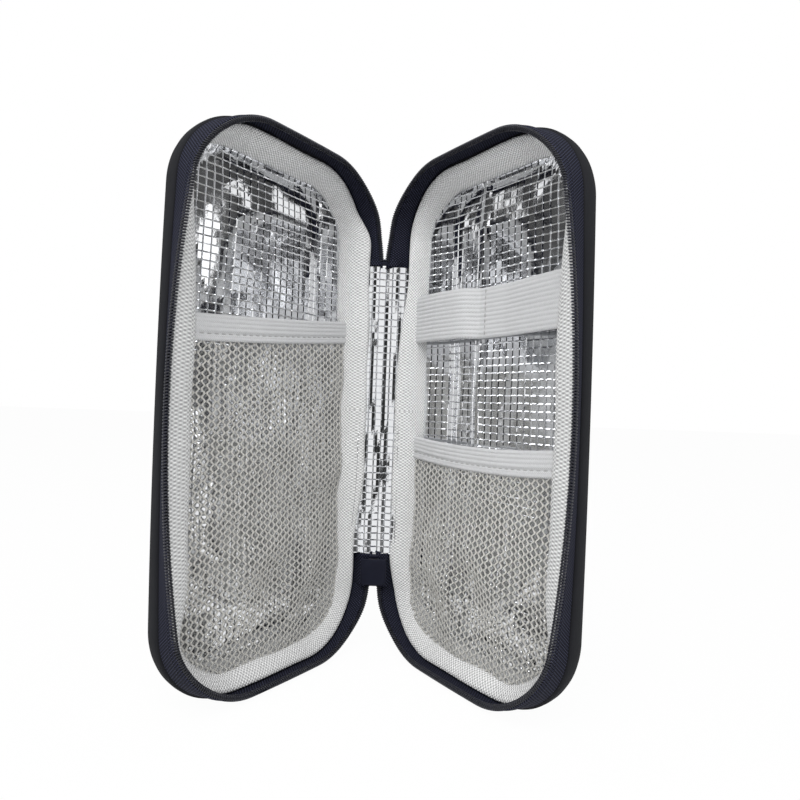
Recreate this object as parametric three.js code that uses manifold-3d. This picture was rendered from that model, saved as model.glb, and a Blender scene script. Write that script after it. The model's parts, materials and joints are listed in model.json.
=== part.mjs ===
import * as THREE from "three";
import { mergeVertices } from "three/addons/utils/BufferGeometryUtils.js";
import Module from "manifold-3d";

// An insulin cooling case: two padded half shells that open like a book about a soft spine, with a zip
// round their free edges. It stands on its bottom end, opened, as in use. Lengths are in millimetres.
// Each half has its own plane: u runs out from the spine, v along the spine, and t is the depth behind
// the zip line, so that the two zip lines meet at t = 0 when the case is shut.

// Whole case
const caseLength = 204;
const halfWidth = 90;
const halfDepth = 25;
const tapeWidth = 10;
const openAngle = THREE.MathUtils.degToRad(53);
const fitGap = 0.3;

// Shell, insulation and liner, counted inwards from the outside face
const shellWall = 2.5;
const foamWall = 2;
const foilWall = 0.5;
const backEdgeRadius = 12;
const innerCornerRadius = 28;
const outerCornerRadius = 29;
const shellBow = 3;

// Zip line, tape and coil
const zipEndInset = 2.4;
const zipOuterInset = 3.8;
const zipCornerRadius = 27;
const zipBow = 11;
const zipEndBow = 1.2;
const tapeWall = 1;
const tapeSeamInset = 0.8;
const coilRadius = 1.1;
const closingGap = 0.4;

// Binding tape over the rim
const bindingWall = 0.8;
const bindingTurnShare = 0.5;
const ledgeGap = 1;

// Spine strip between the halves
const spineTop = 62.2;
const spineBottom = -61.6;
const coverWall = 1.2;
const spineEdgeGap = 0.5;
const spinePadInset = 1.8;

// Joined ends of the zip tapes, above and below the spine strip
const topJoinLength = 2.6;
const joinRise = 5.2;
const stopLength = 1.2;
const stopWidth = 5.2;
const stopHeight = 2.6;

// Slider and pull tab
const sliderLength = 11;
const sliderTravel = 1;
const sliderWidth = 10.7;
const sliderNoseWidth = 6.4;
const sliderPlate = 1.2;
const sliderPostWidth = 1.8;
const sliderPostLength = 2.2;
const sliderFlange = 0.9;
const sliderTapeSlot = 1.8;
const sliderFlangeLength = 8;
const bridgeWidth = 2.6;
const bridgeLength = 6.6;
const bridgeHeight = 4.2;
const chainHeight = 1.1;
const chainWidth = 4.4;
const bridgeWall = 1.2;
const pullLength = 19.5;
const pullWidth = 7;
const pullWall = 1.4;
const pullEyeGap = 0.35;
const pullHoleRadius = 1.6;
const pullHoleSetback = 4.2;
const pullFold = THREE.MathUtils.degToRad(155);

// Mesh pockets
const netWall = 0.7;
const netFromBack = 13;
const netBelly = 1.6;
const netBorder = 1.6;
const netStrand = 1.3;
const netPitchAcross = 9;
const netPitchAlong = 6.5;
const weldShare = 0.01;
const hemHeight = 9.5;
const hemWall = 1.3;
const threadWidth = 0.6;
const threadWall = 0.4;
const threadFromHemFootShare = 0.28;
const leftHemInnerTop = 37.8;
const leftHemOuterTop = 30.6;
const leftHemSag = 0.6;
const rightHemInnerTop = -10.5;
const rightHemOuterTop = -10.2;
const rightHemSag = 2.2;

// Elastic pen band
const bandFoot = 29.6;
const bandHeight = 20;
const bandWall = 1.2;
const bandFromBack = 13.6;
const bandBend = 34;
const bandTack = 43;
const bandTackWidth = 6;

// Counts of segments
const cornerSteps = 6;
const longEdgeSteps = 8;
const endEdgeSteps = 3;
const filletSteps = 4;
const bellSteps = 3;
const coilSides = 6;
const stripSteps = 8;
const roundSteps = 12;

// Values that follow
const halfEnd = caseLength / 2;
const foamOffset = shellWall + fitGap;
const foilOffset = foamOffset + foamWall + fitGap;
const bindingOffset = foilOffset + foilWall + fitGap;
const bindingInner = bindingOffset + bindingWall;
const pocketInset = bindingInner + fitGap;
const linerFloor = halfDepth - foilOffset - foilWall;
const spineHalf = tapeWidth - spineEdgeGap;
const coilLevel = closingGap / 2 + coilRadius;
const tapeFreeEdge = coilLevel + coilRadius + fitGap;
const zipTopEnd = spineTop + fitGap + topJoinLength + fitGap;
const sliderTop = spineBottom - stopLength - 2 * fitGap;
const sliderNose = sliderTop - sliderLength;
const zipBottomEnd = sliderNose - sliderTravel - fitGap;
const bottomJoinFoot = zipBottomEnd + fitGap;
const bottomJoinLength = spineBottom - fitGap - bottomJoinFoot;
const ledgeTop = tapeWidth - fitGap - bindingWall;
const netLevel = halfDepth - netFromBack;
const bandLevel = halfDepth - bandFromBack;

const finishes = {
  shell: { color: 0x2b2c30, roughness: 0.85, metalness: 0 },
  foam: { color: 0xe9e9e4, roughness: 0.95, metalness: 0 },
  foil: { color: 0xc9ccd0, roughness: 0.3, metalness: 1 },
  binding: { color: 0xe6e7ea, roughness: 0.85, metalness: 0 },
  tape: { color: 0x1b1c28, roughness: 0.9, metalness: 0 },
  coil: { color: 0x14151d, roughness: 0.45, metalness: 0 },
  net: { color: 0xd7d7d4, roughness: 0.8, metalness: 0 },
  elastic: { color: 0xdedfe1, roughness: 0.8, metalness: 0 },
  thread: { color: 0xf0f0ee, roughness: 0.7, metalness: 0 },
  metal: { color: 0x20232e, roughness: 0.4, metalness: 0.6 },
};

const wasm = await Module();
wasm.setup();

// A closed geometry from corner points and triangles, turned so that its faces point outwards.
function closedGeometry(points, triangles) {
  let volume = 0;
  for (const [a, b, c] of triangles) {
    volume += points[a].dot(new THREE.Vector3().crossVectors(points[b], points[c]));
  }
  const index = triangles.flatMap(([a, b, c]) => (volume < 0 ? [a, c, b] : [a, b, c]));
  const geometry = new THREE.BufferGeometry().setFromPoints(points);
  geometry.setIndex(index);
  geometry.computeVertexNormals();
  return geometry;
}

// Joins rings of equal count into one solid: the last ring joins the first, or both ends are capped.
function loft(rings, isLoop) {
  const count = rings[0].length;
  const points = rings.flat();
  const triangles = [];
  const last = isLoop ? rings.length : rings.length - 1;
  for (let i = 0; i < last; i++) {
    const here = i * count;
    const next = ((i + 1) % rings.length) * count;
    for (let j = 0; j < count; j++) {
      const k = (j + 1) % count;
      triangles.push([here + j, here + k, next + k], [here + j, next + k, next + j]);
    }
  }
  if (!isLoop) {
    capRing(points, triangles, 0, count, true);
    capRing(points, triangles, (rings.length - 1) * count, count, false);
  }
  return closedGeometry(points, triangles);
}

// Closes one ring with a fan about its middle.
function capRing(points, triangles, first, count, isStart) {
  const middle = new THREE.Vector3();
  for (let j = 0; j < count; j++) middle.add(points[first + j]);
  points.push(middle.divideScalar(count));
  const hub = points.length - 1;
  for (let j = 0; j < count; j++) {
    const k = (j + 1) % count;
    triangles.push(isStart ? [first + k, first + j, hub] : [first + j, first + k, hub]);
  }
}

// Outline of a half shell at a given depth, moved inwards by an inset.
function shellOutline(inset, depth) {
  const bowShare = (halfDepth - depth) / (halfDepth - tapeWidth);
  return {
    inner: inset,
    outer: halfWidth - inset,
    end: halfEnd - inset,
    innerRadius: innerCornerRadius - inset,
    outerRadius: outerCornerRadius - inset,
    bow: shellBow * bowShare,
    endBow: 0,
  };
}

// Outline that the zip line follows, moved inwards by an inset.
function zipOutline(inset) {
  return {
    inner: inset,
    outer: halfWidth - zipOuterInset - inset,
    end: halfEnd - zipEndInset - inset,
    innerRadius: zipCornerRadius - inset,
    outerRadius: zipCornerRadius - inset,
    bow: zipBow,
    endBow: zipEndBow,
  };
}

// Outline between the zip line and the seam of the tape, for a depth from 0 to the tape's width.
function tapeOutline(inset, depth) {
  const seam = shellOutline(tapeSeamInset + inset, tapeWidth);
  const free = zipOutline(inset);
  const share = depth / tapeWidth;
  return Object.fromEntries(
    Object.keys(seam).map((key) => [key, THREE.MathUtils.lerp(free[key], seam[key], share)]),
  );
}

// Points of a quarter turn about a centre, from a start angle, leaving out its first point.
function quarter(u, v, radius, start, sweep, steps) {
  return Array.from({ length: steps }, (_, i) => {
    const angle = start + (sweep * (i + 1)) / steps;
    return new THREE.Vector2(u + radius * Math.cos(angle), v + radius * Math.sin(angle));
  });
}

// Points of a straight run, leaving out its first point.
function run(from, to, steps) {
  return Array.from({ length: steps }, (_, i) => from.clone().lerp(to, (i + 1) / steps));
}

// Swells the outer side and the two ends of an outline by its bows.
function bowed(point, shape) {
  const share = THREE.MathUtils.clamp(point.x / shape.outer, 0, 1);
  const along = point.y / shape.end;
  const middle = shape.outer / 2;
  const across = (point.x - middle) / middle;
  return new THREE.Vector2(
    point.x + shape.bow * share ** 3 * Math.max(0, 1 - along ** 2),
    point.y + shape.endBow * Math.max(0, 1 - across ** 2) * along ** 3,
  );
}

// The outline's points from one height on the spine side, over the top, out, down and back to the
// other height. Both heights inside the straight part give the whole outline.
function outlinePath(shape, topEnd, bottomEnd) {
  const { inner, outer, end, innerRadius, outerRadius } = shape;
  const bend = end - innerRadius;
  const topTurn = Math.asin(THREE.MathUtils.clamp((topEnd - bend) / innerRadius, 0, 1));
  const footTurn = Math.asin(THREE.MathUtils.clamp((-bottomEnd - bend) / innerRadius, 0, 1));
  const hub = inner + innerRadius;
  const at = (turn, sign) =>
    new THREE.Vector2(hub - innerRadius * Math.cos(turn), sign * (bend + innerRadius * Math.sin(turn)));
  const points = [new THREE.Vector2(at(topTurn, 1).x, Math.min(topEnd, at(topTurn, 1).y))];
  if (topEnd < bend) points.push(at(0, 1));
  const quarterTurn = Math.PI / 2;
  points.push(...quarter(hub, bend, innerRadius, Math.PI - topTurn, topTurn - quarterTurn, cornerSteps));
  const farBend = end - outerRadius;
  points.push(...run(points.at(-1), new THREE.Vector2(outer - outerRadius, end), endEdgeSteps));
  points.push(...quarter(outer - outerRadius, farBend, outerRadius, quarterTurn, -quarterTurn, cornerSteps));
  points.push(...run(points.at(-1), new THREE.Vector2(outer, -farBend), longEdgeSteps));
  points.push(...quarter(outer - outerRadius, -farBend, outerRadius, 0, -quarterTurn, cornerSteps));
  points.push(...run(points.at(-1), new THREE.Vector2(hub, -end), endEdgeSteps));
  points.push(...quarter(hub, -bend, innerRadius, -quarterTurn, footTurn - quarterTurn, cornerSteps));
  if (-bottomEnd < bend) points.push(new THREE.Vector2(inner, bottomEnd));
  return points.map((point) => bowed(point, shape));
}

// The whole outline as a ring.
function outlineRing(shape) {
  return outlinePath(shape, 0, 0).slice(0, -1);
}

// Places a point of a half's plane in the half's own axes, whose origin is on its hinge line.
function place(side, u, depth, v) {
  return new THREE.Vector3(side * u, depth - tapeWidth, v);
}

function placeRing(side, ring, depth) {
  return ring.map((point) => place(side, point.x, depth, point.y));
}

// Inset and depth of a layer's face where the wall turns into the back, at a share of the quarter turn.
function filletPoint(offset, share) {
  const angle = (share * Math.PI) / 2;
  const radius = backEdgeRadius - offset;
  return {
    inset: backEdgeRadius - radius * Math.cos(angle),
    depth: halfDepth - backEdgeRadius + radius * Math.sin(angle),
  };
}

function filletRings(side, offset, lastShare, steps) {
  return Array.from({ length: steps + 1 }, (_, i) => {
    const { inset, depth } = filletPoint(offset, (lastShare * i) / steps);
    return placeRing(side, outlineRing(shellOutline(inset, depth)), depth);
  });
}

// A bowl layer of a half, from its outer to its inner offset.
function bowl(side, outerOffset, wall) {
  const rim = (offset) => placeRing(side, outlineRing(shellOutline(offset, tapeWidth)), tapeWidth);
  const innerOffset = outerOffset + wall;
  const outside = [rim(outerOffset), ...filletRings(side, outerOffset, 1, filletSteps)];
  const inside = [rim(innerOffset), ...filletRings(side, innerOffset, 1, filletSteps)];
  return loft([...outside.reverse(), ...inside], false);
}

// Binding tape: a ledge over the rim, then down the liner's wall.
function bindingRing(side) {
  const ledge = tapeSeamInset + tapeWall + ledgeGap;
  const ring = (inset, depth) => placeRing(side, outlineRing(shellOutline(inset, depth)), depth);
  const down = filletRings(side, bindingOffset, bindingTurnShare, bellSteps);
  const up = filletRings(side, bindingInner, bindingTurnShare, bellSteps).reverse();
  const ledgeFoot = ledgeTop + bindingWall;
  const rings = [
    ring(ledge, ledgeTop),
    ring(ledge, ledgeFoot),
    ring(bindingOffset, ledgeFoot),
    ...down,
    ...up,
    ring(bindingInner, ledgeTop),
  ];
  return loft(rings, true);
}

// Turns a list of outline paths, one for each corner of a section, into sections along the path.
function sectionsAlong(paths) {
  return paths[0].map((_, i) => paths.map((path) => path[i]));
}

function zipTape(side) {
  const depths = [tapeFreeEdge, (tapeFreeEdge + tapeWidth) / 2, tapeWidth - fitGap];
  const face = (inset) =>
    depths.map((depth) => {
      const path = outlinePath(tapeOutline(inset, depth), zipTopEnd, zipBottomEnd);
      return placeRing(side, path, depth);
    });
  return loft(sectionsAlong([...face(0), ...face(tapeWall).reverse()]), false);
}

function zipCoil(side) {
  const paths = Array.from({ length: coilSides }, (_, i) => {
    const angle = (2 * Math.PI * i) / coilSides;
    const inset = coilRadius * (1 - Math.cos(angle)) - coilRadius / 2;
    const depth = coilLevel + coilRadius * Math.sin(angle);
    return placeRing(side, outlinePath(zipOutline(inset), zipTopEnd, zipBottomEnd), depth);
  });
  return loft(sectionsAlong(paths), false);
}

// Where a half's outline lies at a height on its outer side.
function outerEdgeAt(shape, v) {
  return bowed(new THREE.Vector2(shape.outer, v), shape).x;
}

// Height of a hem's top edge, from its ends and its sag in the middle.
function hemTop(hem, u) {
  const shape = shellOutline(pocketInset, netLevel);
  const share = (u - pocketInset) / (outerEdgeAt(shape, hem.outerTop) - pocketInset);
  const line = THREE.MathUtils.lerp(hem.innerTop, hem.outerTop, share);
  return line - hem.sag * 4 * share * (1 - share);
}

// A flat strip across a half between its two bindings, from a foot to a top that follow the hem.
function crossStrip(side, hem, foot, height, nearDepth, wall) {
  const shape = shellOutline(pocketInset, netLevel);
  const sections = Array.from({ length: stripSteps + 1 }, (_, i) => {
    const reach = outerEdgeAt(shape, hem.outerTop - hemHeight);
    const u = THREE.MathUtils.lerp(pocketInset, reach, i / stripSteps);
    const low = hemTop(hem, u) - hemHeight + foot;
    return [
      place(side, u, nearDepth, low),
      place(side, u, nearDepth, low + height),
      place(side, u, nearDepth + wall, low + height),
      place(side, u, nearDepth + wall, low),
    ];
  });
  return loft(sections, false);
}

// Whether a point lies inside a polygon, by the even-odd rule.
function isInside(point, polygon) {
  return polygon.reduce((inside, a, i) => {
    const b = polygon[(i + 1) % polygon.length];
    const crosses = a.y > point.y !== b.y > point.y;
    const reach = a.x + ((point.y - a.y) * (b.x - a.x)) / (b.y - a.y);
    return crosses && point.x < reach ? !inside : inside;
  }, false);
}

// Outline of a net: the liner's outline below the hem, moved inwards by a margin.
function netOutline(hem, margin) {
  const shape = shellOutline(pocketInset + margin, netLevel);
  const foot = (u) => hemTop(hem, u) - hemHeight - fitGap - margin;
  const ring = outlineRing(shape).filter((point) => point.y < foot(point.x) - margin);
  const reach = outerEdgeAt(shape, hem.outerTop - hemHeight - margin);
  const topEdge = Array.from({ length: stripSteps + 1 }, (_, i) => {
    const u = THREE.MathUtils.lerp(shape.inner, reach, i / stripSteps);
    return new THREE.Vector2(u, foot(u));
  });
  const firstLow = ring.findIndex((point) => point.x > halfWidth / 2);
  return [...topEdge, ...ring.slice(firstLow), ...ring.slice(0, firstLow)];
}

// A net of diamond gaps, with a plain border, bellied towards the zip line.
function pocketNet(side, hem) {
  const border = netOutline(hem, netBorder);
  const outside = netOutline(hem, 0);
  const low = -halfEnd;
  const reach = outerEdgeAt(shellOutline(pocketInset, netLevel), 0);
  const halfAcross = netPitchAcross / 2;
  const slope = Math.hypot(halfAcross, netPitchAlong) / (halfAcross * netPitchAlong);
  const gapShare = 1 - (netStrand / 2) * slope;
  const shape = new THREE.Shape(outside);
  const rows = Math.ceil(caseLength / netPitchAlong);
  const columns = Math.ceil(reach / netPitchAcross);
  for (let row = 0; row < rows; row++) {
    for (let column = 0; column <= columns; column++) {
      const u = (column + (row % 2) / 2) * netPitchAcross;
      const v = low + row * netPitchAlong;
      const corners = [
        new THREE.Vector2(u - halfAcross * gapShare, v),
        new THREE.Vector2(u, v - netPitchAlong * gapShare),
        new THREE.Vector2(u + halfAcross * gapShare, v),
        new THREE.Vector2(u, v + netPitchAlong * gapShare),
      ];
      if (corners.every((corner) => isInside(corner, border))) shape.holes.push(new THREE.Path(corners));
    }
  }
  const flat = new THREE.ExtrudeGeometry(shape, { depth: netWall, bevelEnabled: false });
  flat.deleteAttribute("normal");
  flat.deleteAttribute("uv");
  const merged = mergeVertices(flat, netWall * weldShare);
  const position = merged.getAttribute("position");
  const points = Array.from({ length: position.count }, (_, i) => {
    const [u, v, level] = [position.getX(i), position.getY(i), position.getZ(i)];
    const across = (2 * u) / (pocketInset + reach) - 1;
    const along = (2 * (v - low)) / (hemTop(hem, u) - hemHeight - low) - 1;
    const belly = netBelly * Math.max(0, 1 - across ** 2) * Math.max(0, 1 - along ** 2);
    return place(side, u, netLevel + level - belly, v);
  });
  const index = merged.index.array;
  const triangles = Array.from({ length: index.length / 3 }, (_, i) => [...index.slice(3 * i, 3 * i + 3)]);
  return closedGeometry(points, triangles);
}

// Elastic band: level from the spine side, down to its tack on the liner's floor, and up to the far side.
function penBand(side) {
  const tackDepth = linerFloor - fitGap - bandWall / 2;
  const far = outerEdgeAt(shellOutline(pocketInset, bandLevel), bandFoot + bandHeight);
  const line = [
    new THREE.Vector2(pocketInset, bandLevel),
    new THREE.Vector2((pocketInset + bandBend) / 2, bandLevel - bandWall / 2),
    new THREE.Vector2(bandBend, bandLevel),
    new THREE.Vector2(bandTack - bandTackWidth / 2, tackDepth),
    new THREE.Vector2(bandTack + bandTackWidth / 2, tackDepth),
    new THREE.Vector2((bandTack + far) / 2, (tackDepth + bandLevel) / 2),
    new THREE.Vector2(far, bandLevel),
  ];
  const sections = line.map((point, i) => {
    const before = line[Math.max(0, i - 1)];
    const after = line[Math.min(line.length - 1, i + 1)];
    const along = after.clone().sub(before).normalize();
    const isEnd = i === 0 || i === line.length - 1;
    const out = isEnd ? new THREE.Vector2(0, 1) : new THREE.Vector2(-along.y, along.x);
    const near = point.clone().addScaledVector(out, -bandWall / 2);
    const back = point.clone().addScaledVector(out, bandWall / 2);
    return [
      place(side, near.x, near.y, bandFoot),
      place(side, near.x, near.y, bandFoot + bandHeight),
      place(side, back.x, back.y, bandFoot + bandHeight),
      place(side, back.x, back.y, bandFoot),
    ];
  });
  return loft(sections, false);
}

// A block between two corners.
function block(low, high) {
  const size = high.clone().sub(low);
  const middle = high.clone().add(low).multiplyScalar(0.5);
  return new THREE.BoxGeometry(size.x, size.y, size.z).translate(middle.x, middle.y, middle.z);
}

// Row of stitches that holds the band to the liner's floor.
function bandTackRow(side) {
  const face = linerFloor - fitGap - bandWall - fitGap;
  const low = place(side, bandTack - threadWidth / 2, face - threadWall, bandFoot + threadWidth);
  const high = place(side, bandTack + threadWidth / 2, face, bandFoot + bandHeight - threadWidth);
  return block(low.clone().min(high), low.clone().max(high));
}

// A slab of the spine strip, a wall's depth behind the hinge line's plane.
function spineSlab(halfAcross, nearFace, wall) {
  return block(
    new THREE.Vector3(-halfAcross, -nearFace - wall, spineBottom),
    new THREE.Vector3(halfAcross, -nearFace, spineTop),
  );
}

// Joined zip tapes between two heights: flat under the chain, then sloping to the spine's edges.
function tapeJoin(foot, height) {
  const line = [
    new THREE.Vector2(-spineHalf + fitGap, -fitGap),
    new THREE.Vector2(-joinShoulder, -joinRise),
    new THREE.Vector2(joinShoulder, -joinRise),
    new THREE.Vector2(spineHalf - fitGap, -fitGap),
  ];
  const face = (lift) => line.map((point) => new THREE.Vector2(point.x, point.y + lift));
  const section = new THREE.Shape([...face(0), ...face(-tapeWall).reverse()]);
  const join = new THREE.ExtrudeGeometry(section, { depth: height, bevelEnabled: false });
  return join.translate(0, 0, foot);
}

function solidOf(geometry) {
  const bare = geometry.clone();
  bare.deleteAttribute("normal");
  bare.deleteAttribute("uv");
  const merged = mergeVertices(bare);
  const mesh = new wasm.Mesh({
    numProp: 3,
    vertProperties: merged.getAttribute("position").array,
    triVerts: new Uint32Array(merged.index.array),
  });
  return new wasm.Manifold(mesh);
}

function geometryOf(solid) {
  const mesh = solid.getMesh();
  const geometry = new THREE.BufferGeometry();
  geometry.setAttribute("position", new THREE.BufferAttribute(mesh.vertProperties, mesh.numProp));
  geometry.setIndex(new THREE.BufferAttribute(mesh.triVerts, 1));
  geometry.computeVertexNormals();
  return geometry;
}

// Heights and depths that the slider shares with what it runs on.
const chainFace = -joinRise - tapeWall - fitGap;
const innerPlateFace = chainFace - chainHeight - fitGap;
const outerPlateFace = fitGap - joinRise;
const tapePlane = -joinRise - tapeWall / 2;
const joinShoulder = sliderWidth / 2 + fitGap;
const bridgeCrown = outerPlateFace + sliderPlate + bridgeHeight;
const bridgeMiddle = (sliderTop + sliderNose) / 2;
const postFoot = sliderNose + sliderPlate;
const postTop = postFoot + sliderPostLength;
const pinTop = bridgeMiddle + bridgeLength / 2 - bridgeWall - fitGap;
const pinAxis = new THREE.Vector3(0, bridgeCrown - bridgeWall - fitGap - pullWall / 2, pinTop - pullWall / 2);

// A slider plate: straight-sided at the tail, drawn in to a round nose.
function sliderPlateAt(nearFace) {
  const half = sliderWidth / 2;
  const nose = sliderNoseWidth / 2;
  const shoulder = sliderNose + (sliderLength - sliderFlangeLength);
  const shape = new THREE.Shape();
  shape.moveTo(-half, sliderTop);
  shape.lineTo(half, sliderTop);
  shape.lineTo(half, shoulder);
  shape.quadraticCurveTo(half, sliderNose, nose, sliderNose);
  shape.lineTo(-nose, sliderNose);
  shape.quadraticCurveTo(-half, sliderNose, -half, shoulder);
  shape.closePath();
  const plate = new THREE.ExtrudeGeometry(shape, {
    depth: sliderPlate,
    bevelEnabled: false,
    curveSegments: roundSteps / 2,
  });
  return plate.rotateX(Math.PI / 2).translate(0, nearFace + sliderPlate, 0);
}

function sliderBody() {
  const half = sliderWidth / 2;
  const overlap = sliderPlate / 2;
  const pieces = [sliderPlateAt(innerPlateFace - sliderPlate), sliderPlateAt(outerPlateFace)];
  for (const side of [-1, 1]) {
    const inside = side * (half - sliderFlange);
    const outside = side * half;
    for (const [from, to] of [
      [innerPlateFace - overlap, tapePlane - sliderTapeSlot / 2],
      [tapePlane + sliderTapeSlot / 2, outerPlateFace + overlap],
    ]) {
      pieces.push(
        block(
          new THREE.Vector3(Math.min(inside, outside), from, sliderTop - sliderFlangeLength),
          new THREE.Vector3(Math.max(inside, outside), to, sliderTop),
        ),
      );
    }
  }
  pieces.push(
    block(
      new THREE.Vector3(-sliderPostWidth / 2, innerPlateFace - overlap, postFoot),
      new THREE.Vector3(sliderPostWidth / 2, outerPlateFace + overlap, postTop),
    ),
  );
  const crown = outerPlateFace + sliderPlate;
  for (const foot of [-bridgeLength / 2, bridgeLength / 2 - bridgeWall]) {
    pieces.push(
      block(
        new THREE.Vector3(-bridgeWidth / 2, crown - overlap, bridgeMiddle + foot),
        new THREE.Vector3(bridgeWidth / 2, bridgeCrown, bridgeMiddle + foot + bridgeWall),
      ),
    );
  }
  pieces.push(
    block(
      new THREE.Vector3(-bridgeWidth / 2, bridgeCrown - bridgeWall, bridgeMiddle - bridgeLength / 2),
      new THREE.Vector3(bridgeWidth / 2, bridgeCrown, bridgeMiddle + bridgeLength / 2),
    ),
  );
  return geometryOf(pieces.map(solidOf).reduce((whole, piece) => whole.add(piece)));
}

// Pull tab: a loop under the slider's bridge, and a plate outside the case. It is drawn about its pin,
// hanging straight down, and its eye is long enough to swing round the bridge.
function pullTab() {
  const eye = bridgeWidth / 2 + pullEyeGap;
  const pinFoot = -pullWall / 2;
  const legReach = pinAxis.z - (bridgeMiddle - bridgeLength / 2);
  const eyeFoot = -Math.hypot(legReach, bridgeCrown - pinAxis.y) - fitGap - pullWall / 2;
  const half = pullWidth / 2;
  const foot = -pullLength;
  const shape = new THREE.Shape();
  shape.moveTo(-half, pullWall / 2);
  shape.lineTo(-half, foot + half);
  shape.absarc(0, foot + half, half, Math.PI, 2 * Math.PI, false);
  shape.lineTo(half, pullWall / 2);
  shape.closePath();
  const window = new THREE.Path();
  window.moveTo(-eye, pinFoot);
  window.lineTo(eye, pinFoot);
  window.lineTo(eye, eyeFoot);
  window.lineTo(-eye, eyeFoot);
  window.closePath();
  const hole = new THREE.Path();
  hole.absarc(0, foot + pullHoleSetback, pullHoleRadius, 0, 2 * Math.PI, true);
  shape.holes.push(window, hole);
  const plate = new THREE.ExtrudeGeometry(shape, {
    depth: pullWall,
    bevelEnabled: false,
    curveSegments: roundSteps,
  });
  return plate.rotateX(Math.PI / 2).translate(0, pullWall / 2, 0);
}

// The lower join parts round the slider's post, where the two tapes go their own ways.
function bottomJoin(foot) {
  const notch = block(
    new THREE.Vector3(-sliderPostWidth / 2 - fitGap, -joinRise - 2 * tapeWall, foot - fitGap),
    new THREE.Vector3(sliderPostWidth / 2 + fitGap, tapeWall - joinRise, postTop + fitGap),
  );
  return geometryOf(solidOf(tapeJoin(foot, bottomJoinLength)).subtract(solidOf(notch)));
}

// The closed stretch of chain that the slider holds.
function parkedChain() {
  return block(
    new THREE.Vector3(-chainWidth / 2, chainFace - chainHeight, postTop + fitGap),
    new THREE.Vector3(chainWidth / 2, chainFace, sliderTop),
  );
}

// A chain end stop that clasps both coils.
function chainStop(foot) {
  return block(
    new THREE.Vector3(-stopWidth / 2, chainFace - stopHeight, foot),
    new THREE.Vector3(stopWidth / 2, chainFace, foot + stopLength),
  );
}

function named(name, geometry, finish) {
  const mesh = new THREE.Mesh(geometry, new THREE.MeshStandardMaterial(finishes[finish]));
  mesh.name = name;
  return mesh;
}

function half(name, side, hem) {
  const group = new THREE.Group();
  const nearHem = netLevel + netWall - hemWall;
  const threadFoot = hemHeight * threadFromHemFootShare;
  const threadFace = nearHem - fitGap - threadWall;
  group.add(
    named(name + "_shell", bowl(side, 0, shellWall), "shell"),
    named(name + "_insulation", bowl(side, foamOffset, foamWall), "foam"),
    named(name + "_foil_liner", bowl(side, foilOffset, foilWall), "foil"),
    named(name + "_binding", bindingRing(side), "binding"),
    named(name + "_zip_tape", zipTape(side), "tape"),
    named(name + "_zip_coil", zipCoil(side), "coil"),
    named(name + "_mesh_pocket", pocketNet(side, hem), "net"),
    named(name + "_pocket_hem", crossStrip(side, hem, 0, hemHeight, nearHem, hemWall), "elastic"),
    named(
      name + "_hem_stitching",
      crossStrip(side, hem, threadFoot, threadWidth, threadFace, threadWall),
      "thread",
    ),
  );
  group.position.x = side * tapeWidth;
  group.rotation.z = -side * openAngle;
  return group;
}

const leftHem = { innerTop: leftHemInnerTop, outerTop: leftHemOuterTop, sag: leftHemSag };
const rightHem = { innerTop: rightHemInnerTop, outerTop: rightHemOuterTop, sag: rightHemSag };

const left = half("left", -1, leftHem);
const right = half("right", 1, rightHem);
right.add(named("pen_band", penBand(1), "elastic"), named("band_tack", bandTackRow(1), "thread"));

const foamFace = coverWall + fitGap;
const foilFace = foamFace + foamWall + fitGap;
const padHalf = tapeWidth - spinePadInset;
const topJoinFoot = spineTop + fitGap;

const spine = new THREE.Group();
spine.add(
  named("spine_cover", spineSlab(spineHalf, 0, coverWall), "shell"),
  named("spine_insulation", spineSlab(padHalf, foamFace, foamWall), "foam"),
  named("spine_foil", spineSlab(padHalf, foilFace, foilWall), "foil"),
  named("top_tape_join", tapeJoin(topJoinFoot, topJoinLength), "tape"),
  named("bottom_tape_join", bottomJoin(bottomJoinFoot), "tape"),
  named("zip_end_stop", chainStop(topJoinFoot), "metal"),
  named("zip_start_stop", chainStop(spineBottom - fitGap - stopLength), "metal"),
  named("parked_chain", parkedChain(), "coil"),
  named("slider", sliderBody(), "metal"),
);

const pull = new THREE.Group();
pull.add(named("pull_tab", pullTab(), "metal"));
pull.position.copy(pinAxis);
pull.rotation.x = pullFold;
spine.add(pull);

// The case stands on the plane z = 0, with the origin under the middle of its box.
const assembly = new THREE.Group();
assembly.add(spine, left, right);
assembly.updateMatrixWorld(true);
const box = new THREE.Box3().setFromObject(assembly, true);
assembly.position.set(-(box.min.x + box.max.x) / 2, -(box.min.y + box.max.y) / 2, -box.min.z);

const insulinCoolingCase = new THREE.Group();
insulinCoolingCase.add(assembly);

export default insulinCoolingCase;
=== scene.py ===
"""Looks of an insulin cooling case: two padded half shells that open like a book about a soft spine.

Every surface is a formula over two parameters, worked out as whole arrays. A half has its own plane:
u runs out from the hinge line, v along the spine from its middle, and depth goes from the zip line to
the back. Lengths are in metres.
"""

import json
import math

import bmesh
import bpy
import numpy as np
from mathutils import Matrix, Vector


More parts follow.
